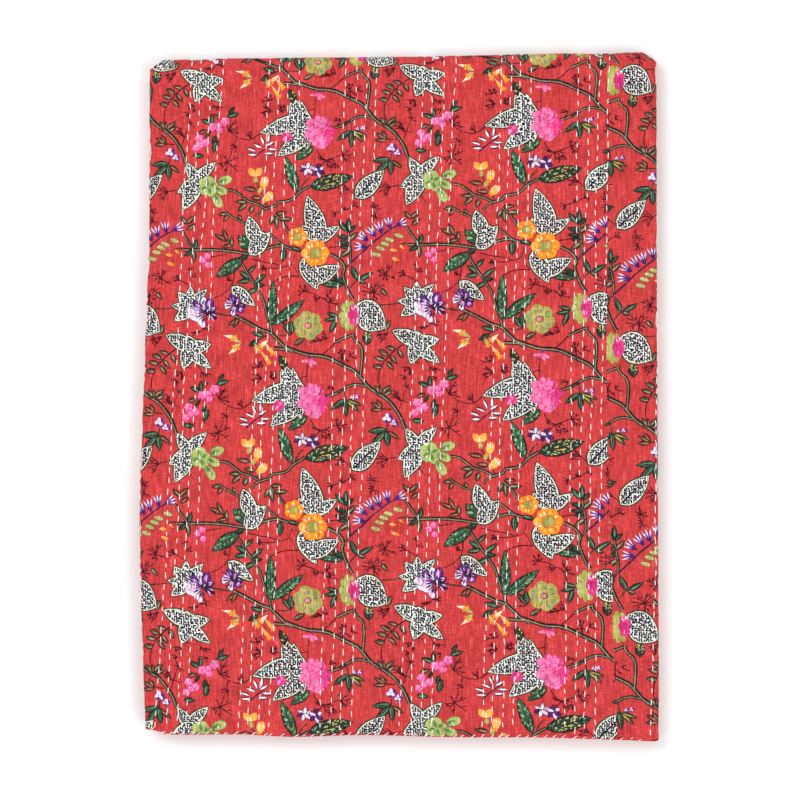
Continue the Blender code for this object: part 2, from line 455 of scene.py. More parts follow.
# Vines: width, and points
VINES = (
    (3.3, ((235, 315.5), (242, 319), (251, 324), (262, 330), (271, 333), (278, 340), (286, 348),
        (293, 352))),
    (3.4, ((296, 82), (310, 87), (318, 89), (328, 89.5), (337, 91.5), (346, 96), (354.5, 100),
        (361.5, 103.5), (367, 109), (372.5, 116.5), (379, 122), (386, 126), (395, 133), (403.5, 145),
        (408.5, 158))),
    (3.0, ((284, 83), (290, 83.5), (298, 84))),
    (2.4, ((227, 189.5), (235, 191), (242, 196), (248, 201), (258, 204), (265, 208))),
    (2.6, ((262, 210), (268, 208), (275, 206), (278, 202), (287, 201), (294, 198), (298, 193),
        (305, 189), (310, 186))),
    (1.8, ((256, 217), (260, 212), (265, 209))),
    (2.0, ((225, 211), (231, 216), (240, 221), (246, 224))),
    (2.2, ((175, 226), (180, 228), (186, 238), (194, 250))),
    (2.9, ((183, 249.5), (198, 250), (211, 249.5), (221, 250), (231, 251), (244, 253), (252, 254),
        (260, 251), (269, 247.5), (281, 245.5), (293, 249), (303, 251))),
    (2.0, ((271, 235), (277, 240), (284, 246))),
    (2.2, ((275, 214), (282, 221), (286, 227), (290, 234))),
    (3.0, ((330, 254), (338, 258), (343, 263), (345, 268), (343, 274), (345, 282), (348, 290), (353, 299))),
    (2.2, ((347.5, 221), (348, 228), (349, 238), (350.5, 250), (350.5, 260), (349, 264))),
    (2.4, ((240, 256), (243, 265), (248, 274), (254, 283), (258, 290), (263, 299), (267, 315),
        (271, 327), (272, 334))),
    (2.8, ((353, 333), (354, 339), (361, 346), (362.5, 354), (362, 363), (360.5, 376))),
    (2.6, ((352, 335), (344, 338), (336, 342))),
    (2.4, ((329, 129), (337, 127), (343, 125), (350, 121), (355, 118), (364, 116), (372, 118))),
)
# Thin dark stems
STEMS = (
    (1.8, "dark_vine", ((214, 313), (224, 315), (236, 316))),
    (1.6, "dark_vine", ((300, 191), (303, 184), (309, 178))),
    (1.5, "dark_vine", ((292, 334), (285, 336), (278, 335))),
    (1.6, "dark_vine", ((268, 335), (258, 340), (254, 342))),
    (1.4, "dark_vine", ((350.5, 121), (351, 126), (351.5, 131))),
    (1.4, "dark_vine", ((170, 158), (169, 164))),
    (1.4, "dark_vine", ((264, 199), (266, 204), (269, 208))),
    (1.2, "dark_vine", ((255.5, 176), (256.5, 184), (262, 193), (265, 200))),
    (1.4, "dark_vine", ((228, 240), (231, 246), (235, 251))),
    (1.4, "dark_vine", ((358, 279), (354, 283), (350, 288))),
    (1.6, "dark_vine", ((184, 249.5), (179, 248), (174, 249.5))),
    (1.3, "dark_vine", ((379, 305), (390, 304.5), (400, 303))),
    (1.8, "dark_vine", ((349, 264), (346, 267.5), (342, 273))),
    (1.8, "plum", ((349, 264), (355, 259), (364, 251), (371, 244), (380, 237), (389, 230), (399, 225))),
    (1.2, "twig", ((189, 84), (182, 88.5), (176, 94), (169, 102), (165, 110), (164, 119), (166, 129))),
    (1.2, "twig", ((336, 342), (328, 350), (320, 356))),
    (1.1, "twig", ((166, 144), (175, 144.5))),
    (1.4, "plum", ((254, 158), (261, 152), (270, 146))),
    (1.0, "twig", ((261, 133), (250, 140), (243, 139), (237, 137), (229, 131))),
    (0.9, "twig", ((237, 137), (235, 142), (237, 148))),
    (0.9, "twig", ((208, 95), (213, 105))),
    (0.9, "twig", ((232, 150), (230, 157), (227, 162))),
    (0.9, "twig", ((182, 144), (185, 136), (188, 128), (190, 124))),
    (0.8, "twig", ((185, 136), (191, 138.5))),
    (0.9, "twig", ((316, 98), (315, 106), (314, 116))),
    (0.8, "twig", ((315, 109), (305, 111))),
    (1.0, "twig", ((317, 150), (320, 156), (326, 160), (333, 158), (341, 155))),
    (0.9, "twig", ((252, 259), (263, 262), (276, 264), (285, 267), (292, 264), (297, 272), (299, 276))),
    (0.9, "twig", ((265, 268), (275, 268.5), (284, 267))),
    (0.9, "twig", ((295, 254), (292, 264))),
    (1.1, "twig", ((300, 276.5), (290, 276), (281, 278), (274, 282))),
    (1.0, "twig", ((235, 267), (233.5, 277), (232, 285), (223, 294), (214, 298))),
    (1.0, "twig", ((173, 277), (180, 280), (192, 287))),
    (0.8, "twig", ((190, 271), (190, 277))),
    (1.0, "twig", ((304, 291), (312, 293), (320, 297), (328, 302), (330, 313))),
    (1.1, "twig", ((328, 248), (340, 246))),
    (1.1, "twig", ((334, 213), (345, 210), (355, 205))),
    (0.9, "twig", ((338, 188), (349, 190), (355, 196))),
    (0.8, "twig", ((339, 193), (348, 193))),
    (0.9, "twig", ((211, 257), (219, 255.5), (227, 254))),
    (0.9, "twig", ((176, 190), (169, 191.5), (162, 192))),
    (0.8, "twig", ((196, 199), (199, 204), (202, 208))),
    (0.9, "twig", ((205, 323), (202, 330), (196, 335))),
    (1.0, "twig", ((361, 291), (374, 292.5), (383, 290))),
    (0.8, "twig", ((373, 199), (374, 205))),
)
# Sprays of fine twigs: x, y, direction, spread, number, length
SPRAYS = (
    (176, 72.5, 205, 55, 4, 12),
    (194, 105, 250, 120, 5, 9),
    (190, 114, 205, 110, 4, 6),
    (190, 124, 60, 200, 5, 5),
    (184, 137, 130, 55, 4, 14),
    (218, 106, 270, 160, 4, 6),
    (219, 115, 200, 130, 3, 6),
    (229, 131, 60, 130, 5, 12),
    (251, 139, 110, 70, 3, 8),
    (236, 147, 190, 160, 4, 6),
    (227, 162, 250, 300, 6, 11),
    (213, 105, 300, 110, 3, 5),
    (268, 101, 90, 200, 5, 7),
    (271, 111, 180, 110, 5, 9),
    (279, 110, 20, 130, 5, 8),
    (305, 110, 170, 70, 3, 5),
    (350, 90, 180, 300, 8, 8),
    (357, 90, 20, 120, 4, 6),
    (341, 120, 200, 90, 3, 7),
    (330, 75, 178, 50, 4, 12),
    (336, 74, 150, 60, 3, 8),
    (326, 160, 250, 260, 6, 9),
    (342, 155, 20, 210, 6, 9),
    (335, 163, 262, 120, 4, 8),
    (168, 192, 188, 110, 4, 11),
    (374.5, 207, 90, 330, 8, 6),
    (375, 216, 200, 330, 8, 6),
    (336, 213, 200, 170, 4, 6),
    (345, 210, 80, 170, 4, 4),
    (354, 206, 30, 170, 4, 5),
    (349, 190, 160, 80, 3, 8),
    (161, 279, 180, 330, 8, 9),
    (180, 280, 150, 100, 4, 8),
    (190, 271, 100, 130, 3, 4),
    (191, 276, 10, 60, 2, 8),
    (232, 281, 150, 80, 3, 7),
    (266, 268, 185, 70, 4, 7),
    (304, 291, 120, 210, 6, 7),
    (320, 298, 200, 90, 3, 7),
    (330, 303, 70, 160, 5, 9),
    (327, 296, 60, 70, 3, 8),
    (374, 293, 180, 340, 8, 11),
    (203, 329, 20, 110, 3, 8),
    (200, 331, 200, 80, 3, 8),
    (197, 100, 20, 60, 2, 6),
)
# Leaves: base x, base y, direction, length, width, kind
LEAVES = (
    (182, 88, 168, 10, 4.5, "olive"),
    (175, 93.5, 152, 11, 6, "olive"),
    (171.5, 98, 165, 11, 5.5, "olive"),
    (168.5, 104.5, 175, 10, 6, "olive"),
    (184, 88.5, -62, 10.5, 5, "olive"),
    (176.5, 94, -52, 11, 5, "olive"),
    (173, 99.5, -52, 11, 5, "olive"),
    (165, 130, 120, 10.5, 5.6, "olive"),
    (165.5, 129.5, 88, 8, 3, "brown"),
    (167, 130, 44, 13, 6, "olive"),
    (168, 131, 26, 11, 4.4, "olive"),
    (166, 144.5, 182, 12, 5, "brown"),
    (166, 143.5, 152, 12, 5, "brown"),
    (166, 143, 122, 9.5, 4.2, "brown"),
    (211, 123.5, 157, 11, 5, "green"),
    (211.5, 123.5, 88, 10, 5, "green"),
    (227, 116.5, 14, 13, 5.5, "green"),
    (229, 114, 52, 9.5, 4, "deep"),
    (199, 132.5, 14, 9, 4.6, "brown"),
    (205, 138, 50, 9, 3, "deep"),
    (213, 144, 72, 9, 5, "deep"),
    (212, 142, 5, 7.5, 3.4, "deep"),
    (217, 141, 252, 12, 6.5, "green"),
    (193, 155, -6, 11, 5.4, "green"),
    (169, 164, 184, 18, 7.4, "green"),
    (168, 165, 224, 22, 7.4, "green"),
    (169, 165, -92, 15, 7.4, "green"),
    (170, 165, -40, 13, 4.6, "brown"),
    (295.5, 103.5, 114, 16, 9, "mottled"),
    (351.5, 130.5, 214, 18, 6.2, "green"),
    (351.5, 130.5, -90, 17, 6.6, "green"),
    (353, 131, -46, 16, 5.6, "yellow"),
    (353, 130.5, -23, 16, 4.6, "yellow"),
    (313.5, 146.5, 216, 23, 10.5, "spotted"),
    (343, 124, 20, 9, 3, "deep"),
    (247, 201.5, 181, 13, 5.2, "olive"),
    (247, 202.5, 223, 14, 5.6, "olive"),
    (252.5, 205.5, 252, 9.5, 5.6, "olive"),
    (257, 190, 172, 14, 5.6, "brown"),
    (262, 199, 172, 12, 5.6, "brown"),
    (226.5, 213, 192, 9, 4.6, "olive"),
    (228, 215, 236, 8, 4.6, "brown"),
    (241, 220, 118, 6.5, 4.2, "olive"),
    (252, 250, 133, 20, 15, "spotted"),
    (186.5, 224, 128, 11, 4.6, "olive"),
    (186.5, 224, 44, 12, 5.6, "brown"),
    (187, 230, 36, 10.5, 4.6, "brown"),
    (194, 249, 72, 10.5, 6, "green"),
    (194, 250, -90, 14, 5.2, "olive"),
    (193, 250, 215, 11, 5.2, "deep"),
    (227.5, 241, 152, 15, 5.2, "brown"),
    (227.5, 241, 112, 13, 5.2, "brown"),
    (231, 247, 85, 11.5, 5.2, "olive"),
    (232.5, 244.5, 195, 12, 4.6, "brown"),
    (243, 258.5, 214, 33, 15, "spotted"),
    (248, 256, 200, 10, 6.4, "deep"),
    (249, 279, 140, 13, 5.8, "green"),
    (250, 280, 190, 13, 5.8, "green"),
    (247.5, 273, 42, 12, 4.8, "green"),
    (254, 284, 40, 16, 5.8, "green"),
    (255, 285.5, 2, 10, 5.2, "deep"),
    (257, 288, 211, 14, 5.8, "green"),
    (309.5, 187, 14, 45, 18, "mottled"),
    (297, 192, 107.5, 37, 13, "spotted"),
    (276, 213, 0, 11, 4.8, "brown"),
    (279, 219.5, 3, 15, 5.4, "olive"),
    (275, 216, 237, 11.5, 5.4, "olive"),
    (275.5, 216, -83, 14.5, 5.4, "olive"),
    (348, 230, 86, 12.5, 5.4, "green"),
    (347, 231, 130, 13.5, 5.8, "green"),
    (348, 232, 40, 11, 4.8, "deep"),
    (348.5, 238.5, 165, 12, 5.4, "deep"),
    (349, 243, 177, 12, 5, "deep"),
    (349.5, 247, 178, 10, 4.4, "deep"),
    (349, 241, 45, 14, 5.4, "olive"),
    (350.5, 250.5, 210, 14, 5.8, "olive"),
    (357.5, 280.5, 113, 16.5, 6.6, "green"),
    (358, 280.5, 28, 18, 5.8, "green"),
    (358, 280.5, -18, 9.5, 4.6, "olive"),
    (344, 285, 174, 27, 9, "spotted"),
    (345, 284.5, 142, 17, 6.4, "deep"),
    (284, 248, -95, 14, 7.4, "green"),
    (291, 248, -12, 12, 5, "green"),
    (271.5, 327, 88, 47, 11.5, "spotted"),
    (272.5, 325, 38, 41, 13, "spotted"),
    (292, 333.5, 131, 14, 6.8, "green"),
    (292, 333.5, 97, 14, 6.8, "green"),
    (294, 345, 33, 14, 6, "olive"),
    (338, 317, 160, 12, 5.2, "green"),
    (337, 318.5, 188, 13.5, 5, "green"),
    (336, 319.5, 246, 15, 5.8, "green"),
    (367, 345, 88, 16, 11, "mottled"),
    (383.5, 331, 57, 14, 7.4, "olive"),
    (264, 335.5, 167, 13, 5.8, "green"),
    (259, 339.5, 213, 12, 5.8, "deep"),
    (468, 312.5, 214, 14, 5.2, "brown"),
    (468, 313, 236, 11, 4.6, "brown"),
    (381, 288.5, -50, 11, 5, "olive"),
    (368, 303, -60, 8, 3, "deep"),
)
# Dotted leaves, as lobes that grow together: base x, base y, direction, length, width
DOTTED = (
    ((204.5, 82, 155, 27, 15), (202, 83, 10, 22, 12.5), (200, 83, -40, 29.5, 12),
        (204, 80, -112, 24, 14.5), (203, 86, 93, 15, 17)),
    ((197, 182, 118, 22, 12), (194, 181, 41, 29, 11.5), (202, 180, 207, 28, 14.5),
        (198.5, 178, -116, 36, 17.5), (195, 178, -40, 16, 13)),
    ((303, 143, 92, 42, 18), (301, 130, 111, 30, 14), (300, 127, 99, 28, 15), (308, 119, 196, 50, 18),
        (311, 131, 217, 42, 17), (303, 110, -84, 40, 18)),
    ((321, 242, 106.5, 48.5, 21), (315, 241, 31, 29, 12.5), (318, 240, 138, 22, 13)),
    ((303, 257, -66, 36, 18), (308, 281, 25, 36, 17)),
    ((256, 243, 105, 28, 16), (249.5, 255, 48, 31, 16), (264, 232, 232, 26, 13)),
    ((355.5, 198, 44, 40, 18.5),),
    ((419, 304, 132, 23, 12), (416, 304, 88, 23, 12), (414, 303, 44, 28, 11), (419, 303, 174, 22, 10),
        (420, 302, 216, 24, 13), (424, 301, 180, 12, 17)),
    ((459, 281, -37, 32, 13.5), (465, 291, 41, 10, 9)),
    ((357, 303, -41, 38, 26), (367, 331, 86, 30, 20), (357, 315, -24, 32, 22)),
)


RIBBED = 6  # the one with a dark midrib


def draw_vines():
    for width, points in VINES:
        draw(ribbon(points, width + 0.8), "vine_edge")
    for width, ink, points in STEMS:
        draw(ribbon(points, width + 0.2, width * 0.8), ink)
    for width, points in VINES:
        line = np.asarray(points, float) + (-0.1 * width, 0.08 * width)
        draw(ribbon(line, width * 0.3), "vine", "sage", points[0], 50)


def draw_sprays():
    rng = random.Random(11)
    for x, y, degrees, spread, number, length in SPRAYS:
        for k in range(number):
            turn = degrees + spread * ((k + 0.5) / number - 0.5) + rng.uniform(-10, 10)
            reach = length * rng.uniform(0.7, 1.25)
            knee = ahead(x, y, turn + rng.uniform(-16, 16), reach * 0.5)
            tip = ahead(*knee, turn + rng.uniform(-16, 16), reach * 0.5)
            draw(ribbon([(x, y), knee, tip], 1.25, 0.9), "twig")
            if length > 6:
                stroke(*knee, turn + rng.uniform(28, 50) * rng.choice((-1, 1)), reach * 0.45, 1.5, "twig")


# Kinds of leaf: edge, body and light inks
LEAF_INKS = {
    "olive": ("brown_edge", "olive", "pale_olive"),
    "brown": ("brown_edge", "brown", "pale_brown"),
    "green": ("leaf_edge", "green", "mid_green"),
    "deep": ("leaf_edge", "deep", "green"),
    "yellow": ("dotted_edge", "olive", "yellow"),
    "spotted": ("leaf_edge", "green", "deep"),
    "mottled": ("leaf_edge", "deep", "yellow"),
}
VEIN_INKS = ("leaf_edge", "deep", "mid_green", "pale_green")
MOTTLE_INKS = ("yellow", "pale_olive", "leaf_edge")
LEAF_WIDTH_SHARE = 0.84  # leaves are drawn a little slimmer than charted, and the olive ones shorter too
OLIVE_LENGTH_SHARE = 0.92


def draw_veins(x, y, degrees, length, width, mottled, rng):
    """Short strokes that lean away from a large leaf's middle."""
    for _ in range(int(length * width / 7)):
        share, off = rng.uniform(0.05, 0.85), rng.uniform(-0.36, 0.36)
        room = math.sin(math.pi * share**0.85)
        spot = turned([(share * length, off * width * room)], degrees)[0] + (x, y)
        lean = degrees + math.copysign(rng.uniform(15, 40), off)
        vein = min(rng.uniform(2.4, 4.4), (0.5 - abs(off)) * width * room * 1.4)
        inks = MOTTLE_INKS if mottled and 0.25 < share < 0.8 else VEIN_INKS
        if vein > 1.2:
            stroke(*spot, lean, vein, 1.2, rng.choice(inks))


def draw_leaf(x, y, degrees, length, width, kind, rng):
    edge, body, light = LEAF_INKS[kind]
    width *= LEAF_WIDTH_SHARE
    length *= OLIVE_LENGTH_SHARE if kind == "olive" else 1
    points = 8 if length > 22 else 5
    draw(lens(x, y, degrees, length, width, 0.6, points), edge)
    draw(lens(x, y, degrees, length, width - 1.2, -0.7, points), body)
    if kind in ("spotted", "mottled"):
        draw_veins(x, y, degrees, length, width, kind == "mottled", rng)
    else:
        off = 1 if rng.random() < 0.5 else -1
        start = ahead(*ahead(x, y, degrees, length * 0.12), degrees + 90 * off, width * 0.16)
        shine = lens(*start, degrees - 3 * off, length * 0.68, width * 0.34, points=4)
        draw(shine, light, body, start, length)
    if width > 5:
        stroke(x, y, degrees, length * 0.86, 1.1, edge)


def draw_dotted():
    for lobes in DOTTED:
        for grow, ink, dots in ((1.1, "dotted_edge", 0.0), (-0.4, "cream", 0.0), (-1.3, "white", 1.0)):
            for lobe in lobes:
                draw(lens(*lobe, grow, 9, fullest=0.75), ink, dots=dots)
    x, y, degrees, length, _ = DOTTED[RIBBED][0]
    draw(ribbon([ahead(x, y, degrees, length * s) for s in (0.08, 0.4, 0.75)], 1.8, 0.8), "ink")


def draw_lime_flower():
    x, y = 208.5, 186.5
    draw(ruffled(x, y, 40, 10.6, 11.6, 5, 0.24), "olive")
    draw(ruffled(x, y, 40, 10.0, 11.0, 5, 0.24), "lime", "pale_lime", (209, 187), 12)
    buds = ((225, 180.2, 18, 7.0, 4.4), (221, 190.4, -28, 6.4, 4.2), (217.4, 201, -62, 7.4, 4.4))
    for x, y, degrees, along, aside in buds:
        base = ahead(x, y, degrees + 180, along)
        draw(oval(x, y, degrees, along + 0.6, aside + 0.6), "olive")
        draw(oval(x, y, degrees, along, aside), "lime", "pale_lime", base, along * 2)
        draw(lens(*base, degrees, along * 1.4, aside * 0.8, points=4), "green", "lime", base, along * 1.8)
    veins = ((208, 186, 100, 8), (207, 187, 200, 7), (209, 188, 285, 7), (210, 186, 30, 7))
    for x, y, degrees, length in veins:
        draw(lens(x, y, degrees, length, 3.4, points=4), "green", "lime", (x, y), length * 1.2)
    for x, y in ((205, 180), (204, 192), (223, 184), (216.5, 203)):
        stroke(x, y, 75, 4, 1.4, "white")


GOLDEN_TURN = 137.5  # degrees from one petal to the next


def draw_peony():
    x, y, along, aside = 319.7, 131.5, 14.0, 17.2
    rng = random.Random(5)
    angles = np.linspace(0, 2 * math.pi, 44, endpoint=False)
    out = 0.9 + 0.055 * np.sin(7 * angles + 1) + 0.05 * np.sin(11 * angles + 2.3) + 0.02 * np.sin(19 * angles)
    edge = np.stack([x + along * out * np.cos(angles), y + aside * out * np.sin(angles)], 1)
    draw(edge, "rose", "pale_rose", (x, y - 4), 30)
    petals = 18
    for k in range(petals):
        share = math.sqrt((petals - k) / petals) * 0.78
        turn = GOLDEN_TURN * k
        px = x + along * share * math.cos(math.radians(turn))
        py = y - aside * share * math.sin(math.radians(turn))
        size = rng.uniform(4.4, 6.4)
        lean = turn + rng.uniform(-50, 50)
        near = ahead(px, py, lean + 180, size)
        tip = "rose" if px > x + 4 else "pale_rose"
        draw(oval(px, py, lean, size + 0.4, size * 0.66 + 0.4, 9), "magenta")
        draw(oval(px, py, lean, size, size * 0.66, 9), "rose", tip, near, size * 2.1)
    for k in range(20):
        turn = rng.uniform(0, 360)
        spot = ahead(x, y, turn, rng.uniform(2, 13))
        stroke(*spot, turn + rng.uniform(-60, 60), 4.4, 1.2, "pale_rose" if k % 3 == 0 else "magenta")
    draw(ruffled(286.5, 137, 20, 6.4, 5.2, 5, 0.2), "magenta", "rose", (285, 138), 6)
    draw(oval(285, 138.5, 60, 3.0, 1.5, 7), "pale_rose")
    draw(oval(288, 135, 100, 1.8, 1.2, 6), "pale_rose")


def draw_pink_blossoms():
    for x, y, size in (
        (213, 127, 5.0),
        (219.5, 130, 4.2),
        (219, 125.5, 3.6),
        (225, 121.5, 5.2),
        (199, 138.5, 4.8),
        (205.5, 143, 4.6),
        (196, 148, 4.4),
        (200.5, 145, 3.8),
        (207.5, 256, 3.8),
        (202.5, 260, 3.8),
        (208, 265, 3.8),
    ):
        turn, light = 17 * x, (x + size * 0.4, y + size * 0.5)
        draw(ruffled(x, y, turn, size, size, 5, 0.26), "magenta")
        draw(ruffled(x, y, turn, size - 0.6, size - 0.6, 5, 0.26), "rose", "pale_rose", light, size * 1.6)
        spot = oval(x - 0.2 * size, y - 0.3 * size, turn, size * 0.5, size * 0.34, 7)
        draw(spot, "lilac", "pale_rose", (x, y - size), size)
        draw(oval(x + 0.35 * size, y + 0.2 * size, 23 * x, size * 0.36, size * 0.26, 6), "pale_rose")
        stroke(x, y, 31 * x, size * 0.5, 1.1, "magenta")
    petals = ((314.5, 94.8, 2, 4.6, 1.5), (321, 95.5, -28, 4.6, 1.8), (319, 97.5, -62, 3.0, 1.3))
    for x, y, degrees, along, aside in petals:
        draw(oval(x, y, degrees, along, aside), "rose", "pale_rose", (319, 92), 8)
    draw(oval(319.5, 91, 0, 1.8, 1.3, 7), "purple")


def draw_violets():
    """Small dark flowers with three pale petals."""
    for x, y, size in ((169.5, 152.5, 4.6), (175.5, 157.5, 3.3), (357.5, 128.5, 1.9), (362.5, 128, 2.1)):
        draw(oval(x + 1.2, y + 0.4, 30, size * 1.1, size), "dark_purple", "purple", (x, y), size)
        for turn in (80, 200, 320):
            middle = ahead(x, y, turn, size * 0.45)
            draw(oval(*middle, turn, size * 0.55, size * 0.4, 7), "white", "lilac", (x, y), size * 1.4)
        draw(oval(x, y, 0, size * 0.16, size * 0.16, 5), "purple")


def draw_asters():
    """Flowers with pointed petals. Some of these are purple."""
    for x, y, turns, purple in (
        (307, 169, (20, 75, 150, 195, 250, 320), (3,)),
        (318, 171, (35, 95, 150, 215, 285, 340), (1, 3, 5)),
    ):
        for k, turn in enumerate(turns):
            body, tip = ("purple", "dark_purple") if k in purple else ("white", "lilac")
            draw(lens(x, y, turn, 7.6, 4.2, 0.5, 4), "dark_purple")
            draw(lens(x, y, turn, 7.4, 3.4, 0, 4), body, tip, (x, y), 9)


def draw_thin_petals():
    for x, y, degrees in (
        (256, 151.5, 160),
        (257, 155, 176),
        (262, 148, 155),
        (264, 145, 110),
        (268, 143, 82),
        (266, 146, 28),
        (268, 149, -4),
        (264, 153.5, 0),
    ):
        draw(lens(x, y, degrees - 6, 9, 3.0, 0.4, 4), "plum")
        draw(lens(x, y, degrees, 9, 1.9, 0, 4), "lilac", "white", (x, y), 4)


def draw_orange_flowers():
    rng = random.Random(8)
    for x, y, size, lobes in ((297.5, 236.5, 9.4, 5), (315.5, 253, 13.4, 6)):
        draw(ruffled(x, y, 35, size + 0.5, size + 0.5, lobes, 0.15), "rust")
        draw(ruffled(x, y, 35, size, size, lobes, 0.14), "orange")
        strokes = int(size * 1.3)
        for k in range(strokes):
            turn = 360 * k / strokes + rng.uniform(-12, 12)
            spot = ahead(x, y, turn, size * rng.uniform(0.42, 0.56))
            lean = turn + rng.uniform(-25, 25)
            stroke(*spot, lean, size * 0.34, 1.7, rng.choice(("white", "pale_orange", "pale_orange", "rust")))
        draw(ruffled(x, y, 0, size * 0.54, size * 0.54, 4, 0.16, 4), "bean", "rust", (x, y), size * 0.8)
        draw(oval(x - size * 0.2, y, 80, size * 0.36, size * 0.17, 7), "lime")
        stamen = oval(x + size * 0.22, y, 100, size * 0.36, size * 0.16, 7)
        draw(stamen, "pale_lime", "moss", (x, y), size * 0.5)
    draw(oval(304.5, 253, 90, 4.2, 3.4), "orange", "pale_orange", (303, 252), 5)


def draw_orange_buds():
    for degrees, light in ((128, (250, 168)), (55, (262, 168))):
        draw(lens(255.5, 176.5, degrees, 10.5, 7, fullest=1), "orange", "pale_orange", light, 12)
    stroke(255.5, 177, 95, 6, 1.8, "white", "pale_orange")
    draw(oval(255.7, 180, 90, 3.0, 2.3, 7), "pale_lime", "moss", (255, 179), 3)
    draw(oval(260, 190.5, 60, 3.4, 2.2, 7), "pale_lime", "moss", (259, 190), 3)
    for x, y, degrees in ((264.5, 182, 70), (268.5, 196.5, 40)):
        draw(oval(x, y, degrees, 6.0, 4.0), "orange", "pale_orange", ahead(x, y, degrees, 6), 12)
        for k in (-1, 0, 1):
            stroke(*ahead(x, y, degrees + 90, 2.4 * k), degrees + 20, 4.2, 1.1, "white")
        for k in (-1, 0, 1):
            stroke(*ahead(x, y, degrees, -4), degrees + 180 + 34 * k, 4.4, 2.6, "orange")


def draw_trumpets():
    """Small trumpets: mouth x, mouth y, the way the tube runs from it, length, and the tube's inks."""
    for x, y, degrees, length, tube, end in (
        (245.5, 73, 168, 10, "pale_orange", "white"),
        (247.5, 83, 215, 10, "pale_orange", "white"),
        (246, 74.5, -25, 7, "moss", "pale_lime"),
        (247, 81.5, 30, 6, "moss", "pale_lime"),
        (268, 84, 112, 7, "pale_lime", "moss"),
        (273, 80, 40, 8, "pale_orange", "white"),
        (282, 86.5, 128, 11, "orange", "pale_orange"),
        (278, 95, 125, 12, "orange", "pale_orange"),
    ):
        for k in (-1, 0, 1):
            stroke(x, y, degrees + 180 + 44 * k, 4.4, 2.2, "orange")
        tail = ahead(x, y, degrees, length)
        draw(lens(*tail, degrees + 180, length * 1.2, 4.0, points=5, fullest=2.0), tube, end, (x, y), length)
    buds = ((175, 250, -42, 6, 2), (165.5, 254.5, -8, 8, 3), (167, 262.5, -22, 8.5, 3.4))
    for x, y, degrees, length, width in buds:
        draw(lens(x, y, degrees, length, width, 0, 4), "pale_orange", "orange", (x, y), length * 0.7)


def draw_bells():
    """Purple bells: base x, base y, direction, length."""
    for x, y, degrees, length in (
        (367, 247, 176, 13),
        (369, 241, 146, 13),
        (376, 237, 128, 13),
        (382, 234, 108, 13),
        (390, 229, 100, 12),
        (396, 226, 28, 12),
    ):
        for k, ink in ((-1, "purple"), (1, "purple"), (0, "dark_purple")):
            draw(lens(x, y, degrees + 16 * k, length, 3.2, 0.3, 4), ink, "purple", (x, y), length)
        for k in (-1, 0, 1):
            tip = ahead(x, y, degrees + 17 * k, length * 0.38)
            stroke(*tip, degrees + 20 * k, length * 0.66, 1.7, "lilac", "white")


def draw_beans():
    for x, y in ((174.5, 240.5), (165.5, 244.5), (161, 248.5), (156.5, 253), (152.5, 259)):
        draw(oval(x, y, -17, 5.2, 2.7), "olive")
        draw(oval(x, y, -17, 4.5, 2.0, 8), "bean", "pale_bean", (x, y), 4)
        stroke(x - 2.6, y - 1.2, -17, 4.4, 1.0, "pale_bean")


def draw_moss_flowers():
    """A flower seen from above, and one seen from the side with a pink heart."""
    rng = random.Random(21)
    x, y, size = 308, 325.5, 14.5
    draw(ruffled(x, y, 14, size + 0.5, size + 0.5, 6, 0.17, 7), "bean")
    draw(ruffled(x, y, 14, size, size, 6, 0.16, 7), "pale_moss", "moss", (x, y), size)
    for k in range(12):
        turn = 30 * k + rng.uniform(-8, 8)
        spot = ahead(x, y, turn, size * rng.uniform(0.55, 0.78))
        ink = rng.choice(("dusty_pink", "pale_bean", "moss", "mid_green"))
        draw(oval(*spot, turn + 70, 3.4, 1.8, 8), ink, "moss", spot, 5)
    for k in range(12):
        turn = 30 * k + 15 + rng.uniform(-6, 6)
        start = ahead(x, y, turn, size * rng.uniform(0.3, 0.55))
        stroke(*start, turn, size * 0.4, 1.3, rng.choice(("olive", "dusty_pink")))
    draw(oval(x, y, 0, 3.8, 3.5), "olive", "brown", (x, y), 4)
    draw(oval(x - 0.3, y, 0, 2.7, 2.4, 8), "pale_rose", "dusty_pink", (x - 1, y), 3)
    draw(ruffled(348, 315.5, 0, 10, 16.5, 9, 0.2), "olive")
    draw(ruffled(348.3, 315.5, 0, 9.5, 16, 9, 0.19), "pale_moss", "moss", (344, 315), 15)
    for _ in range(9):
        turn = rng.uniform(100, 260)
        stroke(*ahead(347, 315, turn, rng.uniform(2, 6)), turn, 6, 1.2, rng.choice(("olive", "pale_lime")))
    draw(ruffled(353.5, 315, 0, 5.8, 11.5, 7, 0.2), "magenta", "rose", (352, 315), 9)
    for _ in range(7):
        spot = (353.5 + rng.uniform(-3, 3), 315 + rng.uniform(-9, 9))
        stroke(*spot, rng.uniform(60, 120), 4.5, 1.6, rng.choice(("pale_rose", "magenta", "white")))


def streaked(x, y, degrees, length, width, body, streak, rng):
    """A petal with a dark edge and streaks that run along it."""
    draw(lens(x, y, degrees, length, width, 0.5, 6, fullest=1.15), "dark_purple")
    draw(lens(x, y, degrees, length, width - 0.8, -0.1, 6, fullest=1.15), body)
    for _ in range(max(2, int(width / 2))):
        start = ahead(x, y, degrees + rng.uniform(-22, 22), length * rng.uniform(0.3, 0.5))
        lean = degrees + rng.uniform(-14, 14)
        stroke(*start, lean, length * rng.uniform(0.35, 0.5), rng.uniform(1.1, 1.8), streak)


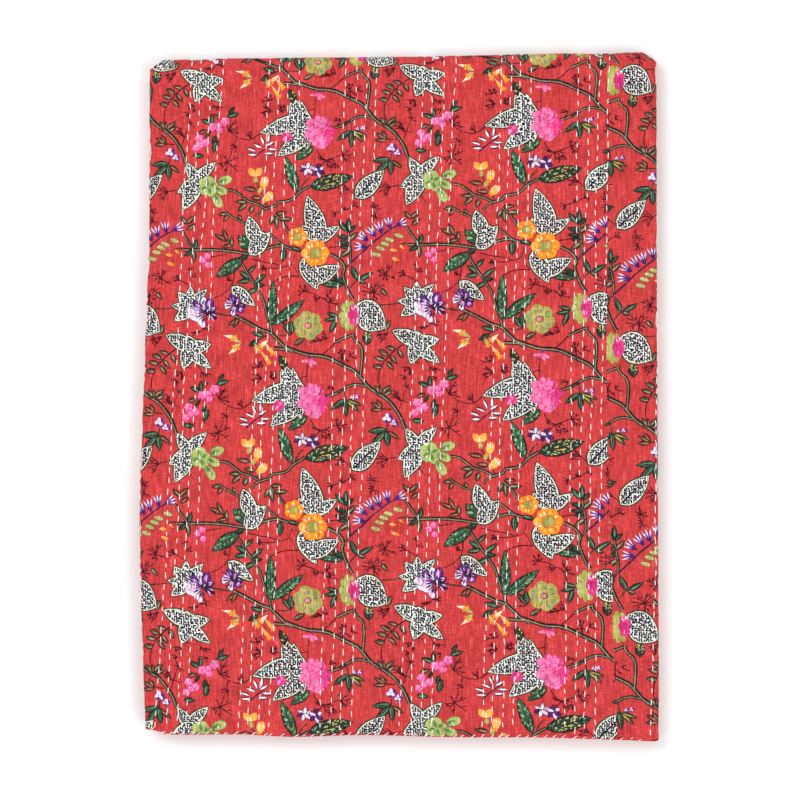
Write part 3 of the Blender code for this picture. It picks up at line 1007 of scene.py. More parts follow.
# Purple flowers seen from the side: centre, petals behind, and the pale petals that hang in front
PANSIES = (
    (
        (434, 307),
        (
            (140, 17, 11, "purple"),
            (104, 16, 10, "white"),
            (72, 16, 9, "purple"),
            (24, 12, 6, "dark_purple"),
            (-30, 13, 7, "dark_purple"),
        ),
        ((422.5, 309.5, -35, 9.0, 6.4), (417.5, 305.5, -50, 4.6, 3.6), (429.5, 318, -65, 4.8, 3.0)),
    ),
    (
        (464.5, 299),
        ((125, 12, 9, "purple"), (70, 8, 7, "purple"), (-10, 10, 6, "dark_purple"), (-45, 11, 7, "purple")),
        ((456.5, 298.5, 60, 5.4, 3.4), (462, 305.5, 80, 4.6, 3.0)),
    ),
)


def draw_pansies():
    rng = random.Random(17)
    for (x, y), petals, hanging in PANSIES:
        for degrees, length, width, body in petals:
            streak = "purple" if body == "white" else "lilac"
            streaked(x, y, degrees, length, width, body, streak, rng)
        for px, py, degrees, along, aside in hanging:
            light = (px + 2, py - 2)
            draw(ruffled(px, py, degrees, along + 0.6, aside + 0.6, 5, 0.12), "purple")
            draw(ruffled(px, py, degrees, along, aside, 5, 0.12), "lilac", "white", light, along * 1.2)
            stroke(px - along * 0.4, py + 0.5, degrees + 20, along * 0.9, 1.6, "pale_rose")
            stroke(px, py - aside * 0.4, degrees + 150, along * 0.7, 1.2, "purple")
        for k in range(8):
            turn = 128 + 20 * k
            start = ahead(x, y, turn, 3)
            stroke(*start, turn, rng.uniform(7, 12), 1.9, rng.choice(("purple", "dark_purple")))
        draw(oval(x + 0.5, y + 0.5, -40, 4.6, 2.6, 9), "dark_purple")
        stroke(x - 3, y + 2, 200, 6, 1.4, "dark_purple")
        stroke(x, y, 60, 3.6, 1.2, "white")
    stroke(440, 304, 2, 10, 1.8, "plum", "magenta")
    stroke(438, 309, -28, 9, 1.6, "plum", "twig")


def draw_print():
    draw_vines()
    draw_sprays()
    rng = random.Random(4)
    for leaf in LEAVES:
        draw_leaf(*leaf, rng)
    draw_dotted()
    draw_lime_flower()
    draw_peony()
    draw_pink_blossoms()
    draw_violets()
    draw_asters()
    draw_thin_petals()
    draw_trumpets()
    draw_bells()
    draw_beans()
    draw_orange_flowers()
    draw_orange_buds()
    draw_moss_flowers()
    draw_pansies()


# The cloth is pieced. From a seam near the right fold on, it is a strip with the same print further along.
# The seam's places are v, and then u.
MAIN, STRIP = 0, 1
SEAM = (
    (-0.370, 0.2424),
    (-0.325, 0.2408),
    (-0.280, 0.2382),
    (-0.190, 0.2370),
    (-0.100, 0.2344),
    (0.020, 0.2316),
    (0.110, 0.2324),
    (0.320, 0.2330),
)


def past_seam(u, v):
    """How far places lie past the seam, in metres."""
    return u - through(SEAM, v)


# The printed cloth was pulled a little out of true when it was quilted, so the repeats aren't quite alike.
# The pull is worked out over so many steps from the middle, and doesn't bend further past its end.
PULL_MIDDLE = 400
PULL_REACH = (250, 330)
PULL_END = 1.1
STRIP_ASIDE, STRIP_DOWN = 30.7, 37.6
STRIP_LEAN, STRIP_STRETCH = 0.003, 1.006


def pulled(x, y, part):
    """Where the quilting pulled a place of the even print to in a part of the cloth, in steps."""
    u, v = (x - PULL_MIDDLE) / PULL_REACH[0], (y - PULL_MIDDLE) / PULL_REACH[1]
    a, b = np.clip(u, -PULL_END, PULL_END), np.clip(v, -PULL_END, PULL_END)
    to_x = PULL_MIDDLE + 250.4 * u + 7 * a * b + 6.1 * b**2 + 5 * a**2 - 0.6 * b**3 - 2 * a * b**2
    to_y = PULL_MIDDLE - 6.2 * u + 335.3 * v + 2.1 * a * b + 4.6 * b**2 - 1.3 * a**2 - 5.4 * b**3
    to_y = to_y + 1.6 * b * a**2
    if part == STRIP:
        to_x, to_y = to_x + STRIP_ASIDE + STRIP_LEAN * to_y, STRIP_STRETCH * to_y + STRIP_DOWN
    return to_x, to_y


def relaxed(x, y, part):
    """The opposite of pulled."""
    to_x, to_y = x, y
    for _ in range(8):
        at_x, at_y = pulled(to_x, to_y, part)
        to_x, to_y = to_x + x - at_x, to_y + y - at_y
    return to_x, to_y


def evened(shapes):
    """The shapes where they are in the even print, since the chart has them where they are seen."""
    found = []
    for outline, ink, second, focus, reach, dots in shapes:
        outline = np.stack(relaxed(*outline.T, MAIN), 1)
        if focus is not None:
            focus = tuple(float(part) for part in relaxed(*np.array(focus, float), MAIN))
        found.append((outline, ink, second, focus, reach, dots))
    return found


# The print as it shows: one repeat is cut into triangles, and the borders between its looks are found
GRAINS = 20  # places along the cloth are whole numbers of grains, so that neighbouring tiles meet
CDT_REACH = 0.3  # grains within which two points of a tile are one
CORNER = (150, 60)  # where the repeat that is worked out starts, in steps
FLAT_TILES = (4, 5)  # how many, across and down
FLAT_REACH = 0.01  # steps within which two points of the flat print are one


def distinct_looks(shapes):
    """The looks that differ, and the number of each shape's."""
    looks, numbers = {}, []
    for _, ink, second, focus, reach, dots in shapes:
        look = (ink, ink, None, 1.0, dots) if ink == second else (ink, second, tuple(focus), reach, dots)
        numbers.append(looks.setdefault(look, len(looks)))
    return list(looks), numbers


def within(box, x, y):
    return box[0] <= x <= box[2] and box[1] <= y <= box[3]


def copies_in_repeat(shapes):
    """Each copy of a shape that reaches into the repeat: its number, outline, low corner and high corner."""
    found = []
    for number, shape in enumerate(shapes):
        for across in range(-2, 2):
            for down in range(-2, 2):
                outline = shape[0] + (across * REPEAT[0], down * REPEAT[1])
                low, high = outline.min(0), outline.max(0)
                if (high - CORNER > 0).all() and (low - CORNER < REPEAT).all():
                    found.append((number, outline, low.tolist(), high.tolist()))
    return found


def joined(verts, scale, index, places):
    """The numbers of a tile's points among the places, which take up the points that are new."""
    numbers = []
    for vert in verts:
        key = (round(vert[0] * scale), round(vert[1] * scale))
        if key not in index:
            index[key] = len(places)
            places.append((vert[0], vert[1]))
        numbers.append(index[key])
    return numbers


def tiles_between(u_cuts, v_cuts):
    """Each tile's number across and down, and its low u, low v, high u and high v."""
    for i, (u0, u1) in enumerate(zip(u_cuts, u_cuts[1:])):
        for j, (v0, v1) in enumerate(zip(v_cuts, v_cuts[1:])):
            yield (i, j), (u0, v0, u1, v1)


def flat_print(shapes):
    """One repeat of the print: places in steps, triangles, and the number of the look at each, or -1."""
    looks, look_numbers = distinct_looks(shapes)
    copies = copies_in_repeat(shapes)
    u_cuts, v_cuts = (
        np.linspace(CORNER[axis], CORNER[axis] + REPEAT[axis], FLAT_TILES[axis] + 1) for axis in (0, 1)
    )
    places, index, triangles, owners = [], {}, [], []
    for _, (u0, v0, u1, v1) in tiles_between(u_cuts, v_cuts):
        points, faces = [(u0, v0), (u1, v0), (u1, v1), (u0, v1)], [[0, 1, 2, 3]]
        boxes, numbers = [(u0, v0, u1, v1)], [-1]
        for number, outline, low, high in copies:
            if high[0] < u0 or low[0] > u1 or high[1] < v0 or low[1] > v1:
                continue
            faces.append(list(range(len(points), len(points) + len(outline))))
            boxes.append((*low, *high))
            numbers.append(look_numbers[number])
            points += [tuple(point) for point in outline.tolist()]
        verts, _, found, _, _, sources = delaunay_2d_cdt(points, [], faces, 0, FLAT_REACH, True)
        here = joined(verts, GRAINS, index, places)
        for triangle, source in zip(found, sources):
            corners = [here[k] for k in triangle]
            if 0 in source and len(set(corners)) == 3:
                x, y = (sum(verts[k][axis] for k in triangle) / 3 for axis in (0, 1))
                triangles.append(corners)
                owners.append(numbers[max(face for face in source if within(boxes[face], x, y))])
    return np.array(places), triangles, owners, looks


def runs_between_looks(triangles, owners):
    """Borders between looks, as runs of points from one fork to the next."""
    sides = {}
    for triangle, owner in zip(triangles, owners):
        for a, b in zip(triangle, triangle[1:] + triangle[:1]):
            sides.setdefault((min(a, b), max(a, b)), []).append(owner)
    links = {}
    for (a, b), found in sides.items():
        if len(found) == 2 and found[0] != found[1]:
            links.setdefault(a, []).append(b)
            links.setdefault(b, []).append(a)
    forks = [point for point, ends in links.items() if len(ends) != 2]
    runs, used = [], set()
    for start in forks + list(links):
        for end in links[start]:
            if (start, end) in used:
                continue
            run, here, there = [start], start, end
            while True:
                used.update(((here, there), (there, here)))
                run.append(there)
                if there == start or len(links[there]) != 2:
                    break
                onward = [point for point in links[there] if point != here]
                here, there = there, onward[0]
            runs.append(run)
    return runs


def thinned(line, tolerance):
    """A line of points without those that lie within the tolerance of the line past them."""
    if len(line) < 3:
        return line
    start, end = line[0], line[-1]
    away = line[1:-1] - start
    span = end - start
    length = math.hypot(*span)
    if length < 1e-6:
        off = np.hypot(*away.T)
    else:
        off = np.abs(away[:, 0] * span[1] - away[:, 1] * span[0]) / length
    worst = int(off.argmax()) + 1
    if off[worst - 1] < tolerance:
        return np.array([start, end])
    first, second = thinned(line[: worst + 1], tolerance), thinned(line[worst:], tolerance)
    return np.concatenate([first[:-1], second])


class Print:
    """One repeat of the print, with the borders that are cut into the cloth."""

    def __init__(self, shapes, tolerance, least):
        places, triangles, owners, self.looks = flat_print(shapes)
        self.owners = owners
        self.tree = BVHTree.FromPolygons([(x, y, 0.0) for x, y in places], triangles)
        self.borders = []
        for run in runs_between_looks(triangles, owners):
            line = places[run]
            if run[0] == run[-1] and (line.max(0) - line.min(0)).max() < least:
                continue
            line = thinned(line, tolerance)
            if run[0] != run[-1] or len(line) > 3:
                self.borders.append(line)

    def look_at(self, x, y):
        """The number of the look at each place, in steps."""
        x = CORNER[0] + (x - CORNER[0]) % REPEAT[0]
        y = CORNER[1] + (y - CORNER[1]) % REPEAT[1]
        return [self.owners[self.tree.find_nearest((a, b, 0.0))[2]] for a, b in zip(x.tolist(), y.tolist())]


# The mesh of the cloth: the borders are cut into the sheet tile by tile
TILE = (60, 56)  # steps across and along the cloth
PRINTED = ((1, 4), (5, 6))  # the stretches across that show, and so are printed
SEAM_POINTS = 260
REPEATS_ACROSS, REPEATS_DOWN = range(-2, 7), range(-5, 3)  # the repeats that may reach the printed cloth
ROWS_OVER_FACE, FACE_STEPS = (-6, 60), (45, 750)  # rows, and steps down, that cover the face
ROW_PARTS, POINT_STEP = 4, 8.5
# How many parts the sheet between the folds' lines is cut into where nothing is printed
PARTS_ACROSS, PARTS_ALONG = (4, 6, 40, 10, 4, 6, 4), (28, 14, 20)
INNER_PARTS_ACROSS, INNER_PARTS_ALONG = (4, 7, 13, 12, 4, 7, 4), (14, 14, 5)
CLEAR_OF_RIM = 0.6  # steps from a tile's rim within which no loose point is put


def grains(values):
    """Metres as whole grains."""
    return np.round(np.asarray(values) / STEP * GRAINS).astype(int)


def cuts(lines, steps):
    """The given lines, and more between them, so that they are about the given steps apart."""
    found = []
    for low, high in zip(lines, lines[1:]):
        parts = max(1, round((high - low) / (steps * GRAINS)))
        found += [round(low + (high - low) * k / parts) for k in range(parts)]
    return found + [lines[-1]]


def crossed(start, end, axis, lines):
    """The points of a stretch of border, with one wherever it crosses a line."""
    a, b = start[axis], end[axis]
    reached = lines[bisect.bisect_right(lines, min(a, b)) : bisect.bisect_left(lines, max(a, b))]
    found = [start]
    for line in reached if a < b else reached[::-1]:
        other = round(start[1 - axis] + (end[1 - axis] - start[1 - axis]) * (line - a) / (b - a))
        found.append((line, other) if axis == 0 else (other, line))
    return found + [end]


def seam_borders():
    """The seam in stretches, as pairs of places in grains."""
    v = np.linspace(V_LINES[0], V_LINES[3], SEAM_POINTS)
    places = np.stack([grains(through(SEAM, v)), grains(v)], 1).tolist()
    return [(tuple(start), tuple(end)) for start, end in zip(places, places[1:])]


def placed_borders(pattern, part, u_range, v_range):
    """Stretches of border wherever a part's print repeats inside the ranges, as pairs of places in grains."""
    lines = pattern.borders
    ends = np.cumsum([len(line) for line in lines])
    linked = np.ones(ends[-1], bool)
    linked[ends - 1] = False
    points = np.concatenate(lines)
    found = []
    for across in REPEATS_ACROSS:
        for down in REPEATS_DOWN:
            x, y = pulled(points[:, 0] + across * REPEAT[0], points[:, 1] + down * REPEAT[1], part)
            u, v = cloth_place(*to_metres(x, y))
            kept = past_seam(u, v) * (1 if part == STRIP else -1)
            u, v = grains(u), grains(v)
            low_u, high_u = np.minimum(u[:-1], u[1:]), np.maximum(u[:-1], u[1:])
            low_v, high_v = np.minimum(v[:-1], v[1:]), np.maximum(v[:-1], v[1:])
            inside = linked[:-1] & (high_u > u_range[0]) & (low_u < u_range[1])
            inside &= (high_v > v_range[0]) & (low_v < v_range[1]) & (np.maximum(kept[:-1], kept[1:]) > 0)
            for k in np.flatnonzero(inside).tolist():
                start, end = (int(u[k]), int(v[k])), (int(u[k + 1]), int(v[k + 1]))
                if min(kept[k], kept[k + 1]) < 0:
                    share = kept[k] / (kept[k] - kept[k + 1])
                    at_seam = tuple(round(a + (b - a) * share) for a, b in zip(start, end))
                    start, end = (at_seam, end) if kept[k] < 0 else (start, at_seam)
                found.append((start, end))
    return found


def face_points():
    """Places on the face that follow the rows, four to a row, in grains."""
    rows, ys = np.meshgrid(np.arange(*ROWS_OVER_FACE, 1 / ROW_PARTS), np.arange(*FACE_STEPS, POINT_STEP))
    ys = ys + np.where((rows * ROW_PARTS) % 2 == 1, POINT_STEP / 2, 0.0)
    u, v = cloth_place(*to_metres(row_x(rows.ravel(), ys.ravel()), ys.ravel()))
    inside = (np.abs(u) < PANEL / 2) & (np.abs(v) < FACE / 2)
    return np.stack([grains(u), grains(v)], 1)[inside]


def evenly(lines, shares):
    """Places along an axis: each stretch between two lines in so many parts."""
    found = [np.linspace(a, b, n + 1)[:-1] for a, b, n in zip(lines, lines[1:], shares)]
    return np.round(np.append(np.concatenate(found), lines[-1])).astype(int).tolist()


def border_pieces(fine, coarse, u_cuts, v_cuts):
    """All the borders on the printed cloth, split where they cross a cut: each piece's middle and ends."""
    u_lines, v_lines = grains(U_LINES).tolist(), grains(V_LINES).tolist()
    for pattern, v_range in ((fine, (v_lines[0], v_lines[2])), (coarse, (v_lines[2], v_lines[3]))):
        for first, last in PRINTED:
            u_range = (u_lines[first], u_lines[last])
            borders = placed_borders(pattern, MAIN, u_range, v_range)
            borders += placed_borders(pattern, STRIP, u_range, v_range)
            for start, end in borders + seam_borders():
                across = crossed(start, end, 0, u_cuts)
                for a, b in zip(across, across[1:]):
                    down = crossed(a, b, 1, v_cuts)
                    for p, q in zip(down, down[1:]):
                        u, v = (p[0] + q[0]) / 2, (p[1] + q[1]) / 2
                        if p != q and u_range[0] < u < u_range[1] and v_range[0] < v < v_range[1]:
                            yield (u, v), (p, q)


def between(values, low, high):
    return values[bisect.bisect_left(values, low) : bisect.bisect_right(values, high)]


def printed_mesh(fine, coarse):
    """Cuts the sheet along the print. Returns places in grains and triangles."""
    u_lines, v_lines = grains(U_LINES).tolist(), grains(V_LINES).tolist()
    u_cuts, v_cuts = cuts(u_lines, TILE[0]), cuts(v_lines, TILE[1])
    u_all, v_all = evenly(u_lines, PARTS_ACROSS), evenly(v_lines, PARTS_ALONG)
    on_u = {line: set(v_all) | set(v_cuts) for line in u_cuts}
    on_v = {line: set(u_all) | set(u_cuts) for line in v_cuts}
    borders = {}
    for (u, v), pair in border_pieces(fine, coarse, u_cuts, v_cuts):
        tile = (bisect.bisect_right(u_cuts, u) - 1, bisect.bisect_right(v_cuts, v) - 1)
        borders.setdefault(tile, []).append(pair)
        for u, v in pair:
            if u in on_u:
                on_u[u].add(v)
            if v in on_v:
                on_v[v].add(u)
    on_u = {line: sorted(values) for line, values in on_u.items()}
    on_v = {line: sorted(values) for line, values in on_v.items()}

    us, vs = (values.ravel() for values in np.meshgrid(u_all, v_all))
    on_face = (us > u_lines[2]) & (us < u_lines[3]) & (vs < v_lines[1])
    loose = np.concatenate([face_points(), np.stack([us, vs], 1)[~on_face]])
    clear = CLEAR_OF_RIM * GRAINS
    places, index, triangles = [], {}, []
    for tile, (u0, v0, u1, v1) in tiles_between(u_cuts, v_cuts):
        points = [(u, v0) for u in between(on_v[v0], u0, u1)[:-1]]
        points += [(u1, v) for v in between(on_u[u1], v0, v1)[:-1]]
        points += [(u, v1) for u in between(on_v[v1], u0, u1)[:0:-1]]
        points += [(u0, v) for v in between(on_u[u0], v0, v1)[:0:-1]]
        rim = list(range(len(points)))
        edges = []
        for pair in borders.get(tile, []):
            edges.append((len(points), len(points) + 1))
            points += pair
        inside = (loose > (u0 + clear, v0 + clear)) & (loose < (u1 - clear, v1 - clear))
        points += [tuple(point) for point in loose[inside.all(1)].tolist()]
        verts, _, found, _, _, sources = delaunay_2d_cdt(points, edges, [rim], 0, CDT_REACH, True)
        here = joined(verts, 1, index, places)
        for triangle, source in zip(found, sources):
            corners = [here[k] for k in triangle]
            if source and len(set(corners)) == 3:
                triangles.append(corners)
    return np.round(places).astype(int), np.array(triangles)


class Colours:
    """The print's colour at places of the cloth: linear light, and how much of it is dotted."""

    def __init__(self, pattern):
        self.pattern = pattern
        rows = []
        for ink, second, focus, reach, dots in pattern.looks + [("ground", "ground", None, 1.0, 0.0)]:
            rows.append((*INKS[ink], *INKS[second], *(focus or (0, 0)), reach, dots))
        self.table = np.array(rows)

    def of(self, triangles, x, y):
        """Colours at the corners of triangles whose points are at x, y in the even print's steps."""
        middle = x[triangles].mean(1), y[triangles].mean(1)
        look = self.table[self.pattern.look_at(*middle)]
        focus = look[:, 6:8] + np.round((np.stack(middle, 1) - look[:, 6:8]) / REPEAT) * REPEAT
        away = np.hypot(x[triangles] - focus[:, :1], y[triangles] - focus[:, 1:]) / look[:, 8:9]
        share = np.clip(away, 0, 1)[:, :, None]
        colours = look[:, None, 0:3] * (1 - share) + look[:, None, 3:6] * share
        dots = np.broadcast_to(look[:, None, 9:10], share.shape)
        return np.concatenate([colours, dots], 2)


HIDDEN_FULLNESS = 0.0004  # cloth between layers is fuller than the solid, so that they nearly touch
INNER_FULLNESS = 0.00035
RIM_TURNS = (45, 90, 135)
RIM_BULGE = 0.8  # how far the rim stands out, as a share of half its thickness
ABOVE_FLOOR = 0.00002


def fullness(u):
    """How much thicker the cloth is where it lies between layers."""
    shown = np.minimum(u - U_LINES[1], U_LINES[4] - u) / SMALL_ARC
    return HIDDEN_FULLNESS * (1 - np.clip(shown, 0, 1))


def outer_lift(u, v):
    return CLOTH / 2 + relief(u, v) + fullness(u)


def outer_side(u, v):
    """The printed side, pressed level where the stack's weight lies on it."""
    places = side(u, v, outer_lift(u, v))
    places[:, 2] = np.maximum(places[:, 2], ABOVE_FLOOR)
    return places


def inner_side(u, v):
    return side(u, v, np.full_like(u, -CLOTH / 2 - INNER_FULLNESS))


def normals_of(surface, u, v):
    nudge = 0.0004
    across = surface(u + nudge, v) - surface(u - nudge, v)
    along = surface(u, v + nudge) - surface(u, v - nudge)
    out = np.cross(across, along)
    return out / np.maximum(np.linalg.norm(out, axis=1), 1e-12)[:, None]


def rim_of(places):
    """The numbers of the places round the cloth's edge, in order."""
    low, high = places.min(0), places.max(0)
    sides = (
        (places[:, 1] == low[1], places[:, 0]),
        (places[:, 0] == high[0], places[:, 1]),
        (places[:, 1] == high[1], -places[:, 0]),
        (places[:, 0] == low[0], -places[:, 1]),
    )
    rim = []
    for here, order in sides:
        found = np.flatnonzero(here)
        rim += found[np.argsort(order[found])].tolist()[:-1]
    return np.array(rim)


def metres(places):
    return (places * (STEP / GRAINS)).T


def rim_rings(u, v, up):
    """Rings of points and normals that round the cloth's edge off, from the printed side to the inner one."""
    out_u = (u > U_LINES[-1] - STEP / 2).astype(float) - (u < U_LINES[0] + STEP / 2)
    out_v = (v > V_LINES[-1] - STEP / 2).astype(float) - (v < V_LINES[0] + STEP / 2)
    nudge = 0.0002
    outward = folded(u, v) - folded(u - out_u * nudge, v - out_v * nudge)
    outward /= np.linalg.norm(outward, axis=1)[:, None]
    upper, lower = outer_lift(u, v), CLOTH / 2 + INNER_FULLNESS
    half, shift = (upper + lower) / 2, (upper - lower) / 2
    for degrees in RIM_TURNS:
        turn = math.radians(degrees)
        bulge = half * RIM_BULGE * math.sin(turn)
        ring = side(u, v, half * math.cos(turn) + shift) + outward * bulge[:, None]
        ring[:, 2] = np.maximum(ring[:, 2], ABOVE_FLOOR)
        yield ring, up * math.cos(turn) + outward * math.sin(turn)


def inner_mesh(edge):
    """The inner side: its places in grains, its triangles, and the numbers of the edge's places."""
    u_inside = evenly(grains(U_LINES).tolist(), INNER_PARTS_ACROSS)[1:-1]
    v_inside = evenly(grains(V_LINES).tolist(), INNER_PARTS_ALONG)[1:-1]
    loose = [tuple(place) for place in np.stack(np.meshgrid(u_inside, v_inside), 2).reshape(-1, 2).tolist()]
    verts, _, found, _, _, _ = delaunay_2d_cdt(edge + loose, [], [list(range(len(edge)))], 1, CDT_REACH, True)
    places = np.array([tuple(vert) for vert in verts])
    numbers = {tuple(place): number for number, place in enumerate(np.round(places).astype(int).tolist())}
    triangles = np.array([triangle[::-1] for triangle in found])
    return places, triangles, np.array([numbers[place] for place in edge])


def cloth_mesh(fine, coarse):
    """The whole cloth as one closed mesh: the printed side, a rounded rim, and the inner side."""
    places, triangles = printed_mesh(fine, coarse)
    u, v = metres(places)
    rim = rim_of(places)
    points, normals = [outer_side(u, v)], [normals_of(outer_side, u, v)]
    rings = [rim]
    count = len(places)
    for ring, ring_normals in rim_rings(u[rim], v[rim], normals[0][rim]):
        points.append(ring)
        normals.append(ring_normals)
        rings.append(np.arange(count, count + len(rim)))
        count += len(rim)

    inner, inner_triangles, inner_edge = inner_mesh([tuple(place) for place in places[rim].tolist()])
    inner_u, inner_v = metres(inner)
    points.append(inner_side(inner_u, inner_v))
    normals.append(-normals_of(inner_side, inner_u, inner_v))
    rings.append(count + inner_edge)

    faces = [triangles]
    for first, second in zip(rings, rings[1:]):
        next_first, next_second = np.roll(first, -1), np.roll(second, -1)
        faces.append(np.stack([first, second, next_second], 1))
        faces.append(np.stack([first, next_second, next_first], 1))
    faces.append(count + inner_triangles)
    all_u = np.concatenate([u] + [u[rim]] * len(RIM_TURNS) + [inner_u])
    all_v = np.concatenate([v] + [v[rim]] * len(RIM_TURNS) + [inner_v])
    return np.concatenate(points), np.concatenate(normals), faces, all_u, all_v


def new_object(name, points, triangles, normals, material):
    mesh = bpy.data.meshes.new(name)
    mesh.vertices.add(len(points))
    mesh.vertices.foreach_set("co", np.asarray(points, np.float32).ravel())
    mesh.loops.add(3 * len(triangles))
    mesh.loops.foreach_set("vertex_index", np.asarray(triangles, np.int32).ravel())
    mesh.polygons.add(len(triangles))
    mesh.polygons.foreach_set("loop_start", np.arange(0, 3 * len(triangles), 3, dtype=np.int32))
    mesh.polygons.foreach_set("loop_total", np.full(len(triangles), 3, np.int32))
    mesh.update()
    mesh.shade_smooth()
    if normals is not None:
        mesh.normals_split_custom_set_from_vertices(np.asarray(normals, np.float32).tolist())
    mesh.materials.append(material)
    thing = bpy.data.objects.new(name, mesh)
    bpy.context.scene.collection.objects.link(thing)
    return thing


def set_uv(mesh, name, corners):
    layer = mesh.uv_layers.new(name=name)
    layer.data.foreach_set("uv", np.asarray(corners, np.float32).ravel())


# The shares of the texture's width that the stretches across take up, where each of its three columns
# starts and how wide it is, and where V_LINES lie in it
BAKE_EDGE = 0.01
BAKE_WIDTHS = (0.02, 0.02, 0.8, 0.04, 0.05, 0.03, 0.02)
BAKE_COLUMNS = ((0.0, 0.62), (0.63, 0.32), (0.96, 0.035))
BAKE_LINES = ((0.01, 0.9, 0.985, 0.99), (0.01, 0.015, 0.02, 0.985), (0.01, 0.45, 0.5, 0.985))


def bake_place(u, v, group):
    """Where the cloth lies on its texture: the upper half, the lower half, and the inner side."""
    across = np.interp(u, U_LINES, np.cumsum((BAKE_EDGE,) + BAKE_WIDTHS))
    x = np.choose(group, [start + across * width for start, width in BAKE_COLUMNS])
    y = np.choose(group, [np.interp(v, V_LINES, lines) for lines in BAKE_LINES])
    return np.stack([x, y], 1)


# How far, in steps, the borders may be from the print's shapes, and the least size of a patch that is cut
# out: fine where the print is seen, and coarse, with the large shapes alone, on the underside
FINE_TOLERANCE, FINE_LEAST = 0.24, 1.4
COARSE_TOLERANCE, COARSE_LEAST = 1.5, 6.0
COARSE_SHAPE = 44  # the least area of a shape there


def quilt_object(material):
    shapes = evened(SHAPES)
    fine = Print(shapes, FINE_TOLERANCE, FINE_LEAST)
    large = [shape for shape in shapes if size_of(shape[0]) > COARSE_SHAPE]
    coarse = Print(large, COARSE_TOLERANCE, COARSE_LEAST)
    points, normals, faces, u, v = cloth_mesh(fine, coarse)
    triangles = np.concatenate(faces)
    quilt = new_object("folded_quilt", points, triangles, normals, material)

    x, y = to_steps(*seen_place(u, v))
    colours = np.zeros((len(triangles), 3, 4))
    colours[:, :, :3] = INKS["ground"]
    printed = faces[0]
    mid_u, mid_v = u[printed].mean(1), v[printed].mean(1)
    shown = np.zeros(len(printed), bool)
    for first, last in PRINTED:
        shown |= (mid_u > U_LINES[first]) & (mid_u < U_LINES[last])
    part_of = np.where(past_seam(mid_u, mid_v) > 0, STRIP, MAIN)
    for pattern, half in ((fine, mid_v < V_LINES[2]), (coarse, mid_v > V_LINES[2])):
        for part in (MAIN, STRIP):
            here = shown & half & (part_of == part)
            colours[np.flatnonzero(here)] = Colours(pattern).of(printed[here], *relaxed(x, y, part))
    layer = quilt.data.color_attributes.new("print", "FLOAT_COLOR", "CORNER")
    layer.data.foreach_set("color", colours.astype(np.float32).ravel())

    corners = triangles.ravel()
    group = np.zeros(len(triangles), int)
    group[: len(printed)] = mid_v > V_LINES[2]
    group[len(printed) :] = 2
    set_uv(quilt.data, "OFBake", bake_place(u[corners], v[corners], np.repeat(group, 3)))
    set_uv(quilt.data, "cloth", np.stack([u[corners], v[corners]], 1) / STEP)
    set_uv(quilt.data, "rows", np.stack([row_at(x, y)[corners], y[corners] / STITCH_PITCH], 1))
    return quilt


# Stitches


def tubes(lines, ups, radii, sides):
    """Points and triangles of many short tubes. lines is (tubes, points, 3), and ups points off the cloth."""
    count, along = lines.shape[:2]
    ahead_of = np.gradient(lines, axis=1)
    ahead_of /= np.linalg.norm(ahead_of, axis=2)[:, :, None]
    aside = np.cross(ahead_of, ups[:, None])
    aside /= np.linalg.norm(aside, axis=2)[:, :, None]
    above = np.cross(aside, ahead_of)
    turns = 2 * math.pi * np.arange(sides) / sides
    ring = aside[:, :, None] * np.cos(turns)[:, None] + above[:, :, None] * np.sin(turns)[:, None]
    points = lines[:, :, None] + ring * np.broadcast_to(radii, (count, along))[:, :, None, None]
    pattern = []
    for k in range(0, (along - 1) * sides, sides):
        for s in range(sides):
            a, b = k + s, k + (s + 1) % sides
            pattern += [(a, b + sides, b), (a, a + sides, b + sides)]
    last = (along - 1) * sides
    for s in range(1, sides - 1):
        pattern += [(0, s, s + 1), (last, last + s + 1, last + s)]
    offsets = np.arange(count)[:, None, None] * (along * sides)
    return points.reshape(-1, 3), (np.array(pattern) + offsets).reshape(-1, 3)


UNIT = 0.001  # a short way off or along the cloth


def off_cloth(u, v):
    """The direction straight off the printed side."""
    out = side(u, v, np.full(len(u), UNIT)) - side(u, v, np.zeros(len(u)))
    return out / np.linalg.norm(out, axis=1)[:, None]


def running_stitches(rows, low_y, high_y, bows, radii, sides, seed):
    """Tubes for the stitches of some rows. bows gives how far each point of a stitch stands off the cloth."""
    rng = np.random.default_rng(seed)
    row, number = (values.ravel() for values in np.meshgrid(rows, np.arange(low_y, high_y, STITCH_PITCH)))
    y = number + (row * NEXT_ROW_SHIFT % 1) * STITCH_PITCH + rng.normal(0, STRAY_ALONG, len(row))
    length = STITCH_LENGTH * rng.uniform(*LENGTH_SHARES, len(row))
    tilt = rng.normal(*SLANT, len(row))
    off = rng.normal(0, STRAY_ASIDE, len(row))
    part = np.linspace(-0.5, 0.5, len(bows))
    ys = y[:, None] + part * length[:, None]
    xs = row_x(row[:, None] + 0 * ys, ys) + off[:, None] + tilt[:, None] * part * length[:, None]
    u, v = cloth_place(*to_metres(xs.ravel(), ys.ravel()))
    u, v = u.reshape(ys.shape), v.reshape(ys.shape)
    inside = (u.min(1) > U_LINES[1] - SEWN_PAST_FOLDS) & (u.max(1) < U_LINES[4] + SEWN_PAST_FOLDS)
    inside &= (v.min(1) > V_LINES[0] + SEWN_PAST_FOLDS) & (v.max(1) < V_LINES[3] - SEWN_PAST_FOLDS)
    u, v = u[inside], v[inside]
    lift = outer_lift(u.ravel(), v.ravel()) + np.tile(bows, len(u))
    lines = side(u.ravel(), v.ravel(), lift).reshape(*u.shape, 3)
    return tubes(lines, off_cloth(u[:, len(bows) // 2], v[:, len(bows) // 2]), np.asarray(radii), sides)


